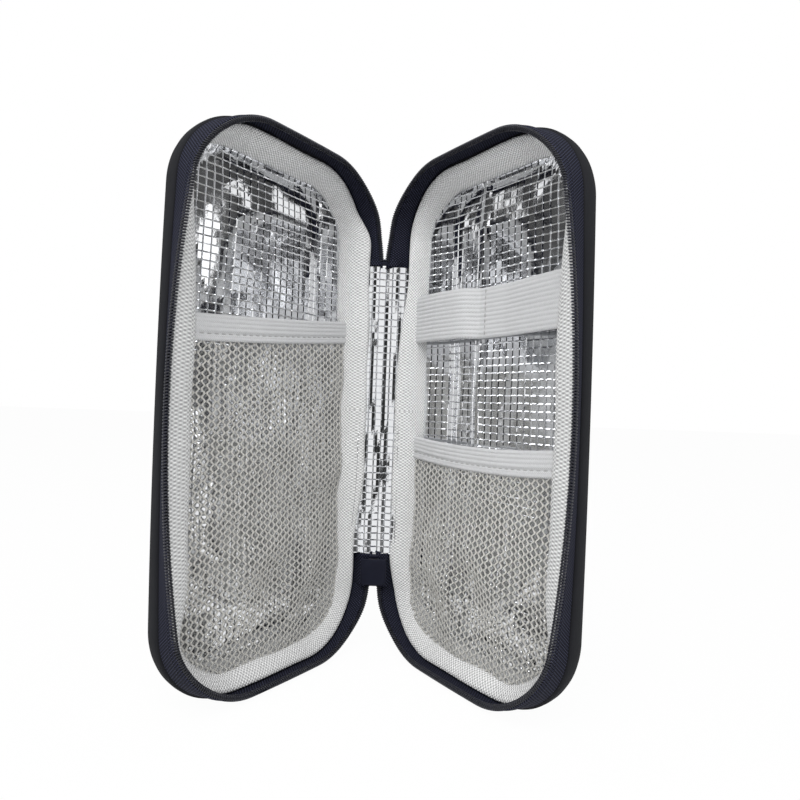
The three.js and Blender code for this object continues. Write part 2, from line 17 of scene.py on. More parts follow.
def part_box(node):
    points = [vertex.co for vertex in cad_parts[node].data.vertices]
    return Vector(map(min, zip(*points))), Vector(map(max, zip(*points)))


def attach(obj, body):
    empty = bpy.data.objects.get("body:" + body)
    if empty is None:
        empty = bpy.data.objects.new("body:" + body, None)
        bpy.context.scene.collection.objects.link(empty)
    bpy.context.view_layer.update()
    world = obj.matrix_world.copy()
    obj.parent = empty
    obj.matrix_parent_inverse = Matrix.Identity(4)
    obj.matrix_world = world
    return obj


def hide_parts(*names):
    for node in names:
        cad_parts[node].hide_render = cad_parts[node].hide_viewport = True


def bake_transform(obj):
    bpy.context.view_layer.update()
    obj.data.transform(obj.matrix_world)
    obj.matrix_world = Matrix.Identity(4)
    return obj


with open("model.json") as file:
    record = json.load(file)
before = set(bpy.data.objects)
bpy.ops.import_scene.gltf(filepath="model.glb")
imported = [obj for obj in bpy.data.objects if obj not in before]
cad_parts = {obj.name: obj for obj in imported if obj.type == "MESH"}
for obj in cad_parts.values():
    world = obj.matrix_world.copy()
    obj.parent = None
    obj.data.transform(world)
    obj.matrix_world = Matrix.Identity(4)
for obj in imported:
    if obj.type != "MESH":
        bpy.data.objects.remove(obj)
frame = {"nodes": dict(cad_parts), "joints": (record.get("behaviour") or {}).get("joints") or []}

bl_info = {
    "name": "Insulin Cooling Case",
    "version": (1, 0, 0),
    "blender": (4, 5, 0),
    "location": "View3D > Sidebar > Cooling Case",
    "description": "Builds the shells, liners, zip, pockets and stage of an insulin cooling case",
    "category": "Add Mesh",
}

MM = 0.001
HINGES = {joint["name"]: joint for joint in frame["joints"] if joint["type"] == "hinge"}
HINGE_X, HINGE_Y, MIDDLE_Z = HINGES["right_hinge"]["pos_m"]
SIDES = {"left": -1, "right": 1}

# Shell and liner: their sizes as packed, the film's swollen floor, its slant by the hinge, its fold
OPEN_ANGLE = math.radians(53)
HALF_WIDTH = 90 * MM
HALF_END = (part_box("left_shell")[1].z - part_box("left_shell")[0].z) / 2
HALF_DEPTH = 25 * MM
TAPE_WIDTH = 10 * MM
BACK_RADIUS = 12 * MM
INNER_RADIUS = 28 * MM
OUTER_RADIUS = 29 * MM
SHELL_BOW = 3 * MM
SHELL_WALL = 2.5 * MM
BACK_INSET = 26.8 * MM
FOAM_OFFSET = 2.8 * MM
FOAM_WALL = 2 * MM
FOIL_OFFSET = 5.6 * MM
FOIL_WALL = 0.16 * MM
FOIL_MARGIN = 6.3 * MM
FLOOR_SWELL = 1.7 * MM
SWELL_RUN = (6 * MM, 36 * MM)
LINER_FLOOR = HALF_DEPTH - FOIL_OFFSET
LINER_SLANT = 0.26
SLANT_REACH = {-1: 21 * MM, 1: 24 * MM}
FOLD_PLACE = 38 * MM
FOLD_LEAN = 0.02
FOLD_WIDTH = 2.2 * MM
FOLD_RISE = 0.7 * MM
POCKET_INSET = 7.0 * MM

# Waves of slack cloth, each a length and a height
FOIL_SLACK = ((62 * MM, 0.35 * MM), (34 * MM, 0.22 * MM), (21 * MM, 0.1 * MM))
NET_FOLDS = ((38 * MM, 0.5 * MM), (19 * MM, 0.3 * MM), (27 * MM, 0.4 * MM))
HEM_PUCKER = ((9 * MM, 0.1 * MM), (31 * MM, 0.35 * MM))
BINDING_PUCKER = ((31 * MM, 0.25 * MM), (17 * MM, 0.15 * MM))

# Zip line, its tape and its coil
ZIP_OUTER = HALF_WIDTH - 3.8 * MM
ZIP_END = HALF_END - 2.4 * MM
ZIP_RADIUS = 27 * MM
ZIP_BOW = 11 * MM
ZIP_END_BOW = 1.2 * MM
TAPE_SEAM_INSET = 0.8 * MM
TAPE_FREE_EDGE = 1.0 * MM
TAPE_WALL = 0.7 * MM
TAPE_THINNING = 0.3 * MM
TAPE_RIDGE = 0.2 * MM
RIDGE_SHARE = 0.3
TAPE_RUN_ON = 0.3 * MM
COIL_LEVEL = 1.35 * MM
COIL_INSET = 0.95 * MM
COIL_RADIUS = 0.68 * MM
COIL_WIRE = 0.34 * MM
COIL_STRETCH = 1.1
SAMPLES_PER_TURN = 9

# The zip's fork: how far it is drawn in, and the heights and widths over which that comes and goes
FORK_DRAW = 1.2 * MM
FORK_CLOSING = 1.2 * MM
FORK_GROWS = (50 * MM, 60 * MM)
FORK_OPENS = (64 * MM, 77 * MM)
FORK_ENDS = (82 * MM, 97 * MM)
FORK_WIDTHS = (9 * MM, 20 * MM)

# Pockets and band
NET_LEVEL = 12 * MM
NET_BELLY = 1.6 * MM
NET_SLACK = 1.1 * MM
SLACK_LEAN = 0.35
SLACK_PER_TURN = 4.2 * MM
SLACK_FADES = (30 * MM, 75 * MM)
HEM_HEIGHT = 9.5 * MM
HEM_WALL = 1.3 * MM
HEM_FACE = NET_LEVEL + 0.7 * MM - HEM_WALL
HEM_SEAM = 0.28 * HEM_HEIGHT
# Each hem's top edge by the spine and at the outer side, and its sag
HEMS = {
    "left": (37.8 * MM, 30.6 * MM, 0.6 * MM),
    "right": (-10.5 * MM, -10.2 * MM, 2.2 * MM),
}
BAND_FOOT = 29.6 * MM
BAND_HEIGHT = 20 * MM
BAND_WALL = 1.2 * MM
BAND_LEVEL = 11.4 * MM
BAND_TACK = 43 * MM
TACK_LENGTH = BAND_HEIGHT - 1.4 * MM

# Knots of the band's line between its two ends, and its share of the way down at each and at the ends
BAND_PLACES = (20 * MM, 32 * MM, 35.5 * MM, BAND_TACK - 2.6 * MM, BAND_TACK + 2.6 * MM, 56 * MM, 72 * MM)
BAND_DROPS = (0, -0.10, -0.04, 0.08, 0.86, 0.88, 0.60, 0.24, 0)

# Shader sockets by their short names
SOCKETS = {"metallic": "Metallic", "sheen": "Sheen Weight", "gloss": "Specular IOR Level"}

# Spine strip
SPINE_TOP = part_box("spine_foil")[1].z - MIDDLE_Z
SPINE_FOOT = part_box("spine_foil")[0].z - MIDDLE_Z
SPINE_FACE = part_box("spine_foil")[0].y - HINGE_Y
STRIP_EDGES = (-10.2 * MM, 11.6 * MM)
STRIP_GATHER = 0.42 * MM
STRIP_RISE = 0.9 * MM
JOIN_HALF_WIDTH = 9.3 * MM
JOIN_FALLS = (4.6 * MM, 9.9 * MM)
JOIN_RISE = 5.2 * MM
JOIN_WALL = 1.0 * MM


class Outline:
    """A rounded outline swollen by its bows.

    A point lies at its corner's centre plus the radius less the inset, along the outward angle. The
    centre, radius and angle run piecewise evenly over the outline's length. Its outer side then swells
    by a bow that falls off as the square of the height, and its ends by a smaller one.
    """

    def __init__(self, outer, end, inner_radius, outer_radius, bow, end_bow):
        """Sets the corners' centres and radii at the knots of the outline's length."""
        self.outer, self.end, self.bow, self.end_bow = outer, end, bow, end_bow
        near, far = inner_radius, outer - outer_radius
        low, high = end - inner_radius, end - outer_radius
        self.hub_u = np.array((near, near, near, far, far, far, far, near, near, near))
        self.hub_v = np.array((0, low, low, high, high, -high, -high, -low, -low, 0))
        self.radius = np.repeat((inner_radius, outer_radius, inner_radius), (3, 4, 3))

    def at(self, run, inset, bow_scale=1.0):
        """u and v at a running length and an inset."""
        angle = np.interp(run, RUN_KNOTS, RUN_ANGLES)
        reach = np.interp(run, RUN_KNOTS, self.radius) - inset
        u = np.interp(run, RUN_KNOTS, self.hub_u) + reach * np.cos(angle)
        v = np.interp(run, RUN_KNOTS, self.hub_v) + reach * np.sin(angle)
        return self.swell(u, v, inset, bow_scale)

    def swell(self, u, v, inset, bow_scale=1.0):
        """Adds the bows to u and v."""
        outer, end = self.outer - inset, self.end - inset
        along = v / end
        across = 2 * u / outer - 1
        swollen = u + self.bow * bow_scale * np.clip(u / outer, 0, 1) ** 3 * np.maximum(0, 1 - along**2)
        return swollen, v + self.end_bow * np.maximum(0, 1 - across**2) * along**3


SHELL_LINE = Outline(HALF_WIDTH, HALF_END, INNER_RADIUS, OUTER_RADIUS, SHELL_BOW, 0)
ZIP_LINE = Outline(ZIP_OUTER, ZIP_END, ZIP_RADIUS, ZIP_RADIUS, ZIP_BOW, ZIP_END_BOW)
RUN_ANGLES = math.pi * np.array((1, 1, 0.5, 0.5, 0, 0, -0.5, -0.5, -1, -1))
RUN_STEPS = np.hypot(np.diff(SHELL_LINE.hub_u), np.diff(SHELL_LINE.hub_v))
RUN_STEPS = RUN_STEPS + SHELL_LINE.radius[1:] * -np.diff(RUN_ANGLES)
RUN_KNOTS = np.concatenate(((0,), np.cumsum(RUN_STEPS)))
RUN_TOTAL = RUN_KNOTS[-1]


def in_half(side, u, depth, v):
    """A half's u, depth and v carried to the frame: turned by the open angle about its hinge line."""
    lift = depth - TAPE_WIDTH
    x = HINGE_X + u * math.cos(OPEN_ANGLE) + lift * math.sin(OPEN_ANGLE)
    y = HINGE_Y - u * math.sin(OPEN_ANGLE) + lift * math.cos(OPEN_ANGLE)
    return np.stack(np.broadcast_arrays(side * x, y, MIDDLE_Z + v), -1)


def on_shell(side, run, inset, depth):
    """A point of the shell's family of outlines, whose bow fades towards the back."""
    fade = (HALF_DEPTH - depth) / (HALF_DEPTH - TAPE_WIDTH)
    u, v = SHELL_LINE.at(run, inset, fade)
    return in_half(side, u, depth, v)


def on_tape(side, run, inset, depth):
    """A point of the zip tape: the zip line at no depth, running evenly to the seam at full width."""
    share = depth / TAPE_WIDTH
    free_u, free_v = ZIP_LINE.at(run, inset)
    seam_u, seam_v = SHELL_LINE.at(run, inset + TAPE_SEAM_INSET)
    u, v = free_u + share * (seam_u - free_u), free_v + share * (seam_v - free_v)
    return drawn_in(side, in_half(side, u, depth, v), v, share)


def drawn_in(side, points, v, share):
    """Points of the zip, drawn in to the middle where it forks, as the pull of the joined ends does it.

    The draw is even over the fork, grows where the fork closes, and fades over the tape's width and
    with the distance from the middle.
    """
    height = np.abs(v)
    draw = FORK_DRAW * smooth(height, *FORK_GROWS) + FORK_CLOSING * (1 - smooth(height, *FORK_OPENS))
    draw = draw * (height > FORK_GROWS[0]) * (1 - smooth(height, *FORK_ENDS))
    draw = draw * (1 - np.clip(share, 0, 1))
    reach = 1 - smooth(np.abs(points[..., 0]), *FORK_WIDTHS)
    return points - np.stack((side * draw * reach, 0 * reach, 0 * reach), -1)


def smooth(value, low, high):
    """0 below low, 1 above high, with level ends between them."""
    share = np.clip((value - low) / (high - low), 0, 1)
    return share * share * (3 - 2 * share)


def bell(value, width):
    """1 at nought, falling off on both sides as a Gaussian."""
    return np.exp(-((value / width) ** 2))


def squared(wave, share):
    """A wave with its size raised to a share, which bends a circle towards a square."""
    return np.sign(wave) * np.abs(wave) ** share


def ripple(u, v, waves, seed):
    """A sum of plane waves, each a (length, height) pair, with seeded directions and phases."""
    rng = np.random.default_rng(seed)
    total = np.zeros(np.broadcast(u, v).shape)
    for length, height in waves:
        turn, phase = rng.uniform(0, 2 * np.pi, 2)
        along = u * np.cos(turn) + v * np.sin(turn)
        total = total + height * np.sin(2 * np.pi * along / length + phase)
    return total


def ring_of(count, start=0.0):
    """Angles set evenly round a circle, the first a share of a step on."""
    return 2 * np.pi * (np.arange(count) + start) / count


# How lattice joins a tube: round its rings, with both ends closed
TUBE = {"wrap": (False, True), "caps": True}


def lattice(points, uv, wrap=(False, False), caps=False, period=(0.0, 0.0)):
    """Quads over one grid of points or a stack of them, either direction joined up if it wraps.

    Wrapped corners take their uv on by a period. Caps close the first and last rows of a tube.
    """
    rows, columns = points.shape[-3:-1]
    flat = points.reshape(-1, 3)
    uv = np.broadcast_to(uv, points.shape[:-1] + (2,)).reshape(-1, 2)
    starts = np.arange(len(flat) // (rows * columns)) * rows * columns
    i, j = np.meshgrid(
        np.arange(rows if wrap[0] else rows - 1),
        np.arange(columns if wrap[1] else columns - 1),
        indexing="ij",
    )
    i, j = i.ravel(), j.ravel()
    near = np.stack((i, i, i + 1, i + 1), 1)
    across = np.stack((j, j + 1, j + 1, j), 1)
    index = (near % rows) * columns + across % columns
    index = (starts[:, None, None] + index).reshape(-1, 4)
    shift = np.stack((near // rows * period[0], across // columns * period[1]), -1)
    sets = [(index, uv[index] + np.tile(shift, (len(starts), 1, 1)))]
    if caps:
        ring = np.arange(columns)
        for cap in (ring[::-1], (rows - 1) * columns + ring):
            cap = starts[:, None] + cap
            sets.append((cap, uv[cap]))
    return flat, sets


def signed_volume(points, sets):
    """Six times the volume that the faces enclose, positive when they point outwards."""
    total = 0.0
    for faces, _ in sets:
        corners = points[faces]
        first = corners[:, 0]
        for k in range(1, faces.shape[1] - 1):
            total += np.einsum("ij,ij->", first, np.cross(corners[:, k], corners[:, k + 1]))
    return total


def facing(points, sets, towards):
    """How far the open faces look along a direction."""
    total = 0.0
    for faces, _ in sets:
        corners = points[faces]
        total += np.cross(corners[:, 2] - corners[:, 0], corners[:, 3] - corners[:, 1]).sum(0) @ towards
    return total


def add_object(name, data):
    """A new object of the scene with its data."""
    made = bpy.data.objects.new(name, data)
    bpy.context.scene.collection.objects.link(made)
    return made


def make_piece(name, patches, material, towards=None, shade_smooth=True):
    """A mesh object from patches of points and faces, each turned outwards, or towards a direction."""
    points, sides, corners, uvs, offset = [], [], [], [], 0
    for patch, sets in patches:
        middle = patch.mean(0)
        flip = signed_volume(patch - middle, sets) if towards is None else facing(patch, sets, towards)
        for faces, uv in sets:
            if flip < 0:
                faces, uv = faces[:, ::-1], uv[:, ::-1]
            corners.append((faces + offset).ravel())
            uvs.append(uv.reshape(-1, 2))
            sides.append(np.full(len(faces), faces.shape[1]))
        points.append(patch)
        offset += len(patch)
    corners, sides = np.concatenate(corners), np.concatenate(sides)
    starts = np.concatenate(((0,), np.cumsum(sides)[:-1]))
    mesh = bpy.data.meshes.new(name)
    mesh.vertices.add(offset)
    mesh.vertices.foreach_set("co", np.concatenate(points).astype(np.float32).ravel())
    mesh.loops.add(len(corners))
    mesh.loops.foreach_set("vertex_index", corners.astype(np.int32))
    mesh.polygons.add(len(sides))
    mesh.polygons.foreach_set("loop_start", starts.astype(np.int32))
    mesh.polygons.foreach_set("use_smooth", np.full(len(sides), shade_smooth))
    layer = mesh.uv_layers.new(name="weave")
    layer.data.foreach_set("uv", np.concatenate(uvs).astype(np.float32).ravel())
    mesh.update(calc_edges=True)
    mesh.validate()
    mesh.materials.append(material)
    return add_object(name, mesh)


def flat_uv(first, second):
    """Two running lengths as uv, in millimetres, so that a weave is set at its real scale."""
    return np.stack(np.broadcast_arrays(first, second), -1) / MM


def node(tree, kind, inputs=None, **settings):
    """A shader node with its settings, and its inputs set or linked."""
    made = tree.nodes.new(kind)
    for key, value in settings.items():
        setattr(made, key, value)
    for key, value in (inputs or {}).items():
        if isinstance(value, bpy.types.NodeSocket):
            tree.links.new(value, made.inputs[key])
        else:
            made.inputs[key].default_value = value
    return made


def maths(tree, operation, first, second=0.0):
    """The output of a Math node."""
    return node(tree, "ShaderNodeMath", {0: first, 1: second}, operation=operation).outputs[0]


def object_noise(tree, scale, detail=4.0):
    """Noise over Object coordinates, from 0 to 1."""
    place = node(tree, "ShaderNodeTexCoord").outputs["Object"]
    settings = {"Vector": place, "Scale": scale, "Detail": detail}
    return node(tree, "ShaderNodeTexNoise", settings).outputs[0]


def weave_wave(tree, share_u, share_v):
    """A sine over the weave's uv, from -1 to 1, with its repeats a millimetre along u and v."""
    uv = node(tree, "ShaderNodeUVMap", uv_map="weave").outputs[0]
    parts = node(tree, "ShaderNodeSeparateXYZ", {0: uv}).outputs
    first = maths(tree, "MULTIPLY", parts[0], 2 * math.pi * share_u)
    second = maths(tree, "MULTIPLY", parts[1], 2 * math.pi * share_v)
    return maths(tree, "SINE", maths(tree, "ADD", first, second))


def yarn_dots(tree, share_u, share_v):
    """Rows of yarn crossings set off by half a step: the product of a wave each way, from 0 to 1."""
    product = maths(tree, "MULTIPLY", weave_wave(tree, share_u, 0), weave_wave(tree, 0, share_v))
    return maths(tree, "ADD", maths(tree, "MULTIPLY", product, 0.5), 0.5)


def finish(name, colour, roughness, **others):
    """A material with its constants on the shader's own sockets. Gives the material, tree and shader."""
    material = bpy.data.materials.new(name)
    material.use_nodes = True
    tree = material.node_tree
    shader = tree.nodes["Principled BSDF"]
    shader.inputs["Base Color"].default_value = (*colour, 1)
    shader.inputs["Roughness"].default_value = roughness
    for key, value in others.items():
        shader.inputs[SOCKETS[key]].default_value = value
    return material, tree, shader


def relief(tree, shader, height, distance, strength=1.0):
    """Bump of a height from 0 to 1 over a real distance."""
    bump = node(tree, "ShaderNodeBump", {"Height": height, "Distance": distance, "Strength": strength})
    tree.links.new(bump.outputs[0], shader.inputs["Normal"])


def tone(tree, shader, factor, colour, dark, light):
    """Base colour between two shades of a colour, by a factor."""
    first, second = ([min(1.0, channel * scale) for channel in colour] for scale in (dark, light))
    mixed = node(tree, "ShaderNodeMix", {0: factor, 6: (*first, 1), 7: (*second, 1)}, data_type="RGBA")
    tree.links.new(mixed.outputs[2], shader.inputs["Base Color"])


def uneven(tree, shader, noise, low, high, smoothest, roughest):
    """Roughness between two values, as a noise goes from low to high."""
    spread = node(tree, "ShaderNodeMapRange", {0: noise, 1: low, 2: high, 3: smoothest, 4: roughest})
    tree.links.new(spread.outputs[0], shader.inputs["Roughness"])


def cells(tree, scale):
    """Distance to the nearest of scattered points, over Object coordinates."""
    place = node(tree, "ShaderNodeTexCoord").outputs["Object"]
    return node(tree, "ShaderNodeTexVoronoi", {"Vector": place, "Scale": scale}).outputs["Distance"]


def shell_knit(colour):
    """Charcoal knit laminated on moulded foam: fine loops and a slow change of tone."""
    material, tree, shader = finish("shell knit", colour, 0.85, gloss=0.12)
    relief(tree, shader, cells(tree, 1900.0), 0.08 * MM, 0.6)
    tone(tree, shader, object_noise(tree, 45.0), colour, 0.8, 1.35)
    return material


def bright_foil(colour):
    """Aluminised film: a mirror dulled unevenly, with fine creases."""
    material, tree, shader = finish("bright foil", colour, 0.16, metallic=1.0)
    uneven(tree, shader, object_noise(tree, 130.0), 0.3, 0.7, 0.05, 0.12)
    relief(tree, shader, object_noise(tree, 420.0, 2.0), 0.08 * MM, 0.35)
    tone(tree, shader, object_noise(tree, 38.0), colour, 0.86, 1.08)
    return material


def woven(colour, name, pitch_u, pitch_v, height, dark):
    """Woven cloth: staggered yarn crossings in relief, roughened by fibres, with painted shade between
    the yarns.
    """
    material, tree, shader = finish(name, colour, 0.85, sheen=0.1)
    fibres = maths(tree, "ADD", object_noise(tree, 1400.0, 2.0), 0.5)
    yarn_relief_and_shade = maths(tree, "MULTIPLY", yarn_dots(tree, MM / pitch_u, MM / pitch_v), fibres)
    relief(tree, shader, yarn_relief_and_shade, height, 0.8)
    # Painted shade: the colour darkens where the yarn relief is low, between the yarns
    tone(tree, shader, yarn_relief_and_shade, colour, dark, 1.06)
    return material


def zip_weave(colour):
    """Navy-black zip tape: a twill with pale painted highlights where the light catches a yarn."""
    material, tree, shader = finish("zip weave", colour, 0.85, gloss=0.1)
    dots = yarn_dots(tree, 1 / 1.1, 1 / 1.4)
    relief(tree, shader, dots, 0.12 * MM, 0.8)
    yarn_glint = node(tree, "ShaderNodeMapRange", {0: dots, 1: 0.55, 2: 1.0, 3: 0.0, 4: 1.0})
    # Painted highlights: the colour lightens up to tenfold on the tops of the yarns
    tone(tree, shader, yarn_glint.outputs[0], colour, 1.0, 10.0)
    return material


def coil_nylon(colour):
    """Smooth dark nylon with a slow change of tone."""
    material, tree, shader = finish("coil nylon", colour, 0.35, gloss=0.5)
    tone(tree, shader, object_noise(tree, 300.0), colour, 0.8, 2.4)
    return material


def spun_thread(colour, name):
    """Twisted yarn: a slanted wave round the thread."""
    material, tree, shader = finish(name, colour, 0.6, sheen=0.2)
    relief(tree, shader, weave_wave(tree, 1.6, 2.2), 0.05 * MM, 0.6)
    tone(tree, shader, object_noise(tree, 90.0), colour, 0.86, 1.05)
    return material


def enamel(colour):
    """Dark enamel on a cast slider, worn a little unevenly."""
    material, tree, shader = finish("slider enamel", colour, 0.5, gloss=0.12)
    uneven(tree, shader, object_noise(tree, 500.0), 0.3, 0.8, 0.4, 0.6)
    tone(tree, shader, object_noise(tree, 160.0), colour, 0.8, 1.3)
    return material


def cell_foam(colour):
    """Closed-cell foam: small round cells in relief, with painted shade in their hollows."""
    material, tree, shader = finish("cell foam", colour, 0.9)
    cell_relief_and_shade = cells(tree, 1100.0)
    relief(tree, shader, cell_relief_and_shade, 0.15 * MM, 0.7)
    # Painted shade: the colour darkens towards the cells' low middles
    tone(tree, shader, cell_relief_and_shade, colour, 0.8, 1.0)
    return material


# For each of the record's slots: the maker of its material, its colour, and what else the maker takes
MAKERS = {
    "shell_fabric": (shell_knit, "shell"),
    "foil_film": (bright_foil, "foil"),
    "insulation_foam": (cell_foam, "foam"),
    # For the woven cloths the last number sets how dark the painted shade between the yarns gets
    "binding_tape": (woven, "binding", "grosgrain", 1.3 * MM, 1.2 * MM, 0.36 * MM, 0.36),
    "zip_tape": (zip_weave, "tape"),
    "zip_coil": (coil_nylon, "tape"),
    "pocket_net": (spun_thread, "net", "net yarn"),
    "elastic": (woven, "elastic", "elastic weave", 0.8 * MM, 0.5 * MM, 0.08 * MM, 0.72),
    "thread": (spun_thread, "thread", "sewing thread"),
    "slider_metal": (enamel, "enamel"),
}
FINISHES = {}


def finish_of(slot):
    """The shared material of a slot, made once."""
    if slot not in FINISHES:
        maker, colour, *settings = MAKERS[slot]
        FINISHES[slot] = maker(getattr(bpy.context.scene.case_colours, colour), *settings)
    return FINISHES[slot]


def add_piece(name, slot, body, patches, *nodes, **settings):
    """A piece of one patch or a list of them, in its slot's finish, settled on its body."""
    patches = patches if isinstance(patches, list) else [patches]
    return settle(make_piece(name, patches, finish_of(slot), **settings), body, slot, *nodes)


def settle(piece, body, slot, *nodes):
    """Puts a piece on its body, in place of its nodes; the slot is not used. A piece given no body stays
    where it is built.
    """
    if body:
        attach(piece, body)
    if nodes:
        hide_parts(*nodes)
    return piece


def thicken(piece, wall):
    """Gives a sheet its wall behind the face that it shows."""
    modifier = piece.modifiers.new("wall", "SOLIDIFY")
    modifier.thickness = wall
    modifier.offset = -1


def bowl_profile(offset, wall):
    """Inset and depth round a bowl's section: the inside of its back, up, over the round rim, down."""
    turn = np.linspace(0, np.pi / 2, 10)
    knee = HALF_DEPTH - BACK_RADIUS

    def face(shift):
        """One face, set in by a shift: the wall's line, a quarter circle and the flat back."""
        radius = BACK_RADIUS - shift
        inset = np.concatenate(((shift, shift), BACK_RADIUS - radius * np.cos(turn), (BACK_INSET,)))
        rise = np.concatenate(((TAPE_WIDTH + wall / 2, knee - wall / 4), knee + radius * np.sin(turn)))
        return np.stack((inset, np.append(rise, HALF_DEPTH - shift)))

    over = np.linspace(0, np.pi, 7)[1:-1]
    rim_inset = offset + wall / 2 * (1 + np.cos(over))
    rim = np.stack((rim_inset, TAPE_WIDTH + wall / 2 * (1 - np.sin(over))))
    return np.concatenate((face(offset + wall)[:, ::-1], rim, face(offset)), axis=1)


def bowl(side, offset, wall, samples=480):
    """A closed bowl: its section carried round the shell's outline, its back closed inside and out."""
    inset, depth = bowl_profile(offset, wall)[:, :, None]
    run = np.linspace(0, RUN_TOTAL, samples, endpoint=False)[None, :]
    points = on_shell(side, run, inset, depth)
    steps = np.hypot(np.diff(inset[:, 0]), np.diff(depth[:, 0]))
    length = np.concatenate(((0,), np.cumsum(steps)))[:, None]
    return lattice(points, flat_uv(run, length), **TUBE)


def foil_lines(low, high, pitch):
    """Grid lines over a span: in each cell its ridge, the ridge's two feet and the cell's middle.

    Gives the lines, how much of a ridge each is, its place in its cell and its cell's number.
    """
    shares = np.array((0, 0.1, 0.5, 0.9))
    cells = np.arange(math.ceil((high - low) / pitch))
    lines = low + pitch * (cells[:, None] + shares)
    ridge = np.broadcast_to(shares == 0, lines.shape).astype(float)
    within = np.broadcast_to(np.where(shares == 0, 0, shares - 0.5), lines.shape)
    number = np.broadcast_to(cells[:, None], lines.shape)
    return lines.ravel(), ridge.ravel(), within.ravel(), number.ravel()


def embossing(across, along, sizes, seed):
    """Height of the film over its base: ridges that sink where they cross, cells that tilt a little."""
    _, ridge_u, within_u, number_u = across
    _, ridge_v, within_v, number_v = along
    rng = np.random.default_rng(seed)
    tilts = rng.normal(0, sizes.cell_tilt, (2, number_v.max() + 1, number_u.max() + 1))
    tilt_u, tilt_v = tilts[:, number_v][:, :, number_u]
    lean = tilt_u * within_u[None, :] * sizes.foil_across + tilt_v * within_v[:, None] * sizes.foil_along
    either = ridge_u[None, :] + ridge_v[:, None]
    return lean * (either == 0) + sizes.ridge_height * np.choose(either.astype(int), (0.0, 1.0, 0.45))


def inset_of(u, v):
    """Distance of a point inside the shell's unbowed outline, and the direction that leads inwards."""
    far = HALF_WIDTH - OUTER_RADIUS
    radius = np.where(u > far, OUTER_RADIUS, INNER_RADIUS)
    hub_v = np.clip(v, radius - HALF_END, HALF_END - radius)
    away = np.stack((u - np.clip(u, INNER_RADIUS, far), v - hub_v), -1)
    length = np.linalg.norm(away, axis=-1)
    return radius - length, -away / np.maximum(length, 1e-9)[..., None]


def liner_depth(side, u, v, inset):
    """Depth of the liner: a swollen floor, a round fillet up to the wall, and a slant by the hinge.

    The right one also has a soft upright fold.
    """
    radius = BACK_RADIUS - FOIL_OFFSET
    reach = np.clip(BACK_RADIUS - inset, 0, radius)
    swelling = FLOOR_SWELL * smooth(inset, *SWELL_RUN)
    floor = HALF_DEPTH - BACK_RADIUS + np.sqrt(radius**2 - reach**2) - swelling
    slant = LINER_FLOOR - LINER_SLANT * np.maximum(0, SLANT_REACH[side] - u)
    fold = FOLD_RISE * bell(u - FOLD_PLACE - FOLD_LEAN * v, FOLD_WIDTH) * (side > 0)
    return np.minimum(floor, slant) - fold


def foil_liner(side, sizes):
    """The liner's film over u and v, drawn in to an even margin, embossed towards the zip line."""
    across = foil_lines(2 * MM, HALF_WIDTH, sizes.foil_across)
    along = foil_lines(-HALF_END, HALF_END, sizes.foil_along)
    u, v = np.meshgrid(across[0], along[0])
    height = embossing(across, along, sizes, 11 if side < 0 else 12)
    inset, inward = inset_of(u, v)
    outside = inset < FOIL_MARGIN
    move = np.where(outside, FOIL_MARGIN - inset, 0)[..., None] * inward
    u, v = u + move[..., 0], v + move[..., 1]
    inset = np.maximum(inset, FOIL_MARGIN)
    slack = ripple(u, v, FOIL_SLACK, 5 if side < 0 else 6) * smooth(inset, FOIL_MARGIN, 16 * MM)
    depth = liner_depth(side, u, v, inset) - height * ~outside - np.abs(slack)
    fade = (HALF_DEPTH - depth) / (HALF_DEPTH - TAPE_WIDTH)
    bowed_u, bowed_v = SHELL_LINE.swell(u, v, inset, fade)
    points, sets = lattice(in_half(side, bowed_u, depth, bowed_v), flat_uv(u, v))
    kept = ~outside.ravel()[sets[0][0]].all(1)
    return points, [(sets[0][0][kept], sets[0][1][kept])]


def section_of(*corners):
    """Inset and depth of a section's corners, given in millimetres, each as a column."""
    return np.array(corners).T[:, :, None] * MM


# Sections of the binding, from its seam over its front to its foot and back inside
TOP_SECTION = section_of(
    (2.6, 10.2), (2.5, 9.4), (3.2, 9.0), (4.1, 9.2), (4.9, 9.5), (5.6, 9.8),
    (6.3, 10.5), (7.1, 11.5), (7.9, 13.0), (8.7, 14.8), (9.3, 16.4), (9.6, 17.7),
    (9.2, 18.1), (8.1, 16.8), (7.0, 14.4), (6.3, 12.2), (5.4, 10.9), (4.0, 10.2))
FOOT_SECTION = section_of(
    (2.5, 8.6), (2.2, 7.6), (2.9, 7.0), (3.9, 7.4), (4.8, 8.1), (5.6, 8.7),
    (6.6, 9.7), (7.6, 11.1), (8.4, 12.9), (9.1, 14.8), (9.7, 16.4), (10.1, 17.8),
    (9.6, 18.3), (8.4, 16.8), (7.2, 14.2), (6.3, 11.8), (5.2, 10.0), (3.8, 9.0))
SIDE_SECTION = section_of(
    (1.3, 6.3), (1.5, 5.3), (2.6, 4.7), (4.4, 5.0), (6.6, 6.1), (8.7, 7.8),
    (10.4, 9.5), (11.5, 11.2), (11.6, 12.8), (10.8, 14.4), (9.9, 16.1), (9.8, 17.7),
    (9.3, 18.2), (8.9, 15.9), (10.0, 13.2), (9.8, 11.4), (7.6, 8.9), (4.0, 6.8))
LONG_LAP = section_of(
    (2.4, 4.9), (2.0, 4.4), (2.3, 3.9), (3.2, 4.6), (3.9, 5.7), (4.8, 7.0),
    (5.8, 8.4), (6.7, 10.0), (7.4, 11.8), (8.0, 13.4), (8.5, 14.8), (8.8, 15.9),
    (8.5, 16.3), (7.6, 15.2), (6.7, 13.2), (6.0, 11.2), (4.9, 9.0), (3.4, 6.6))
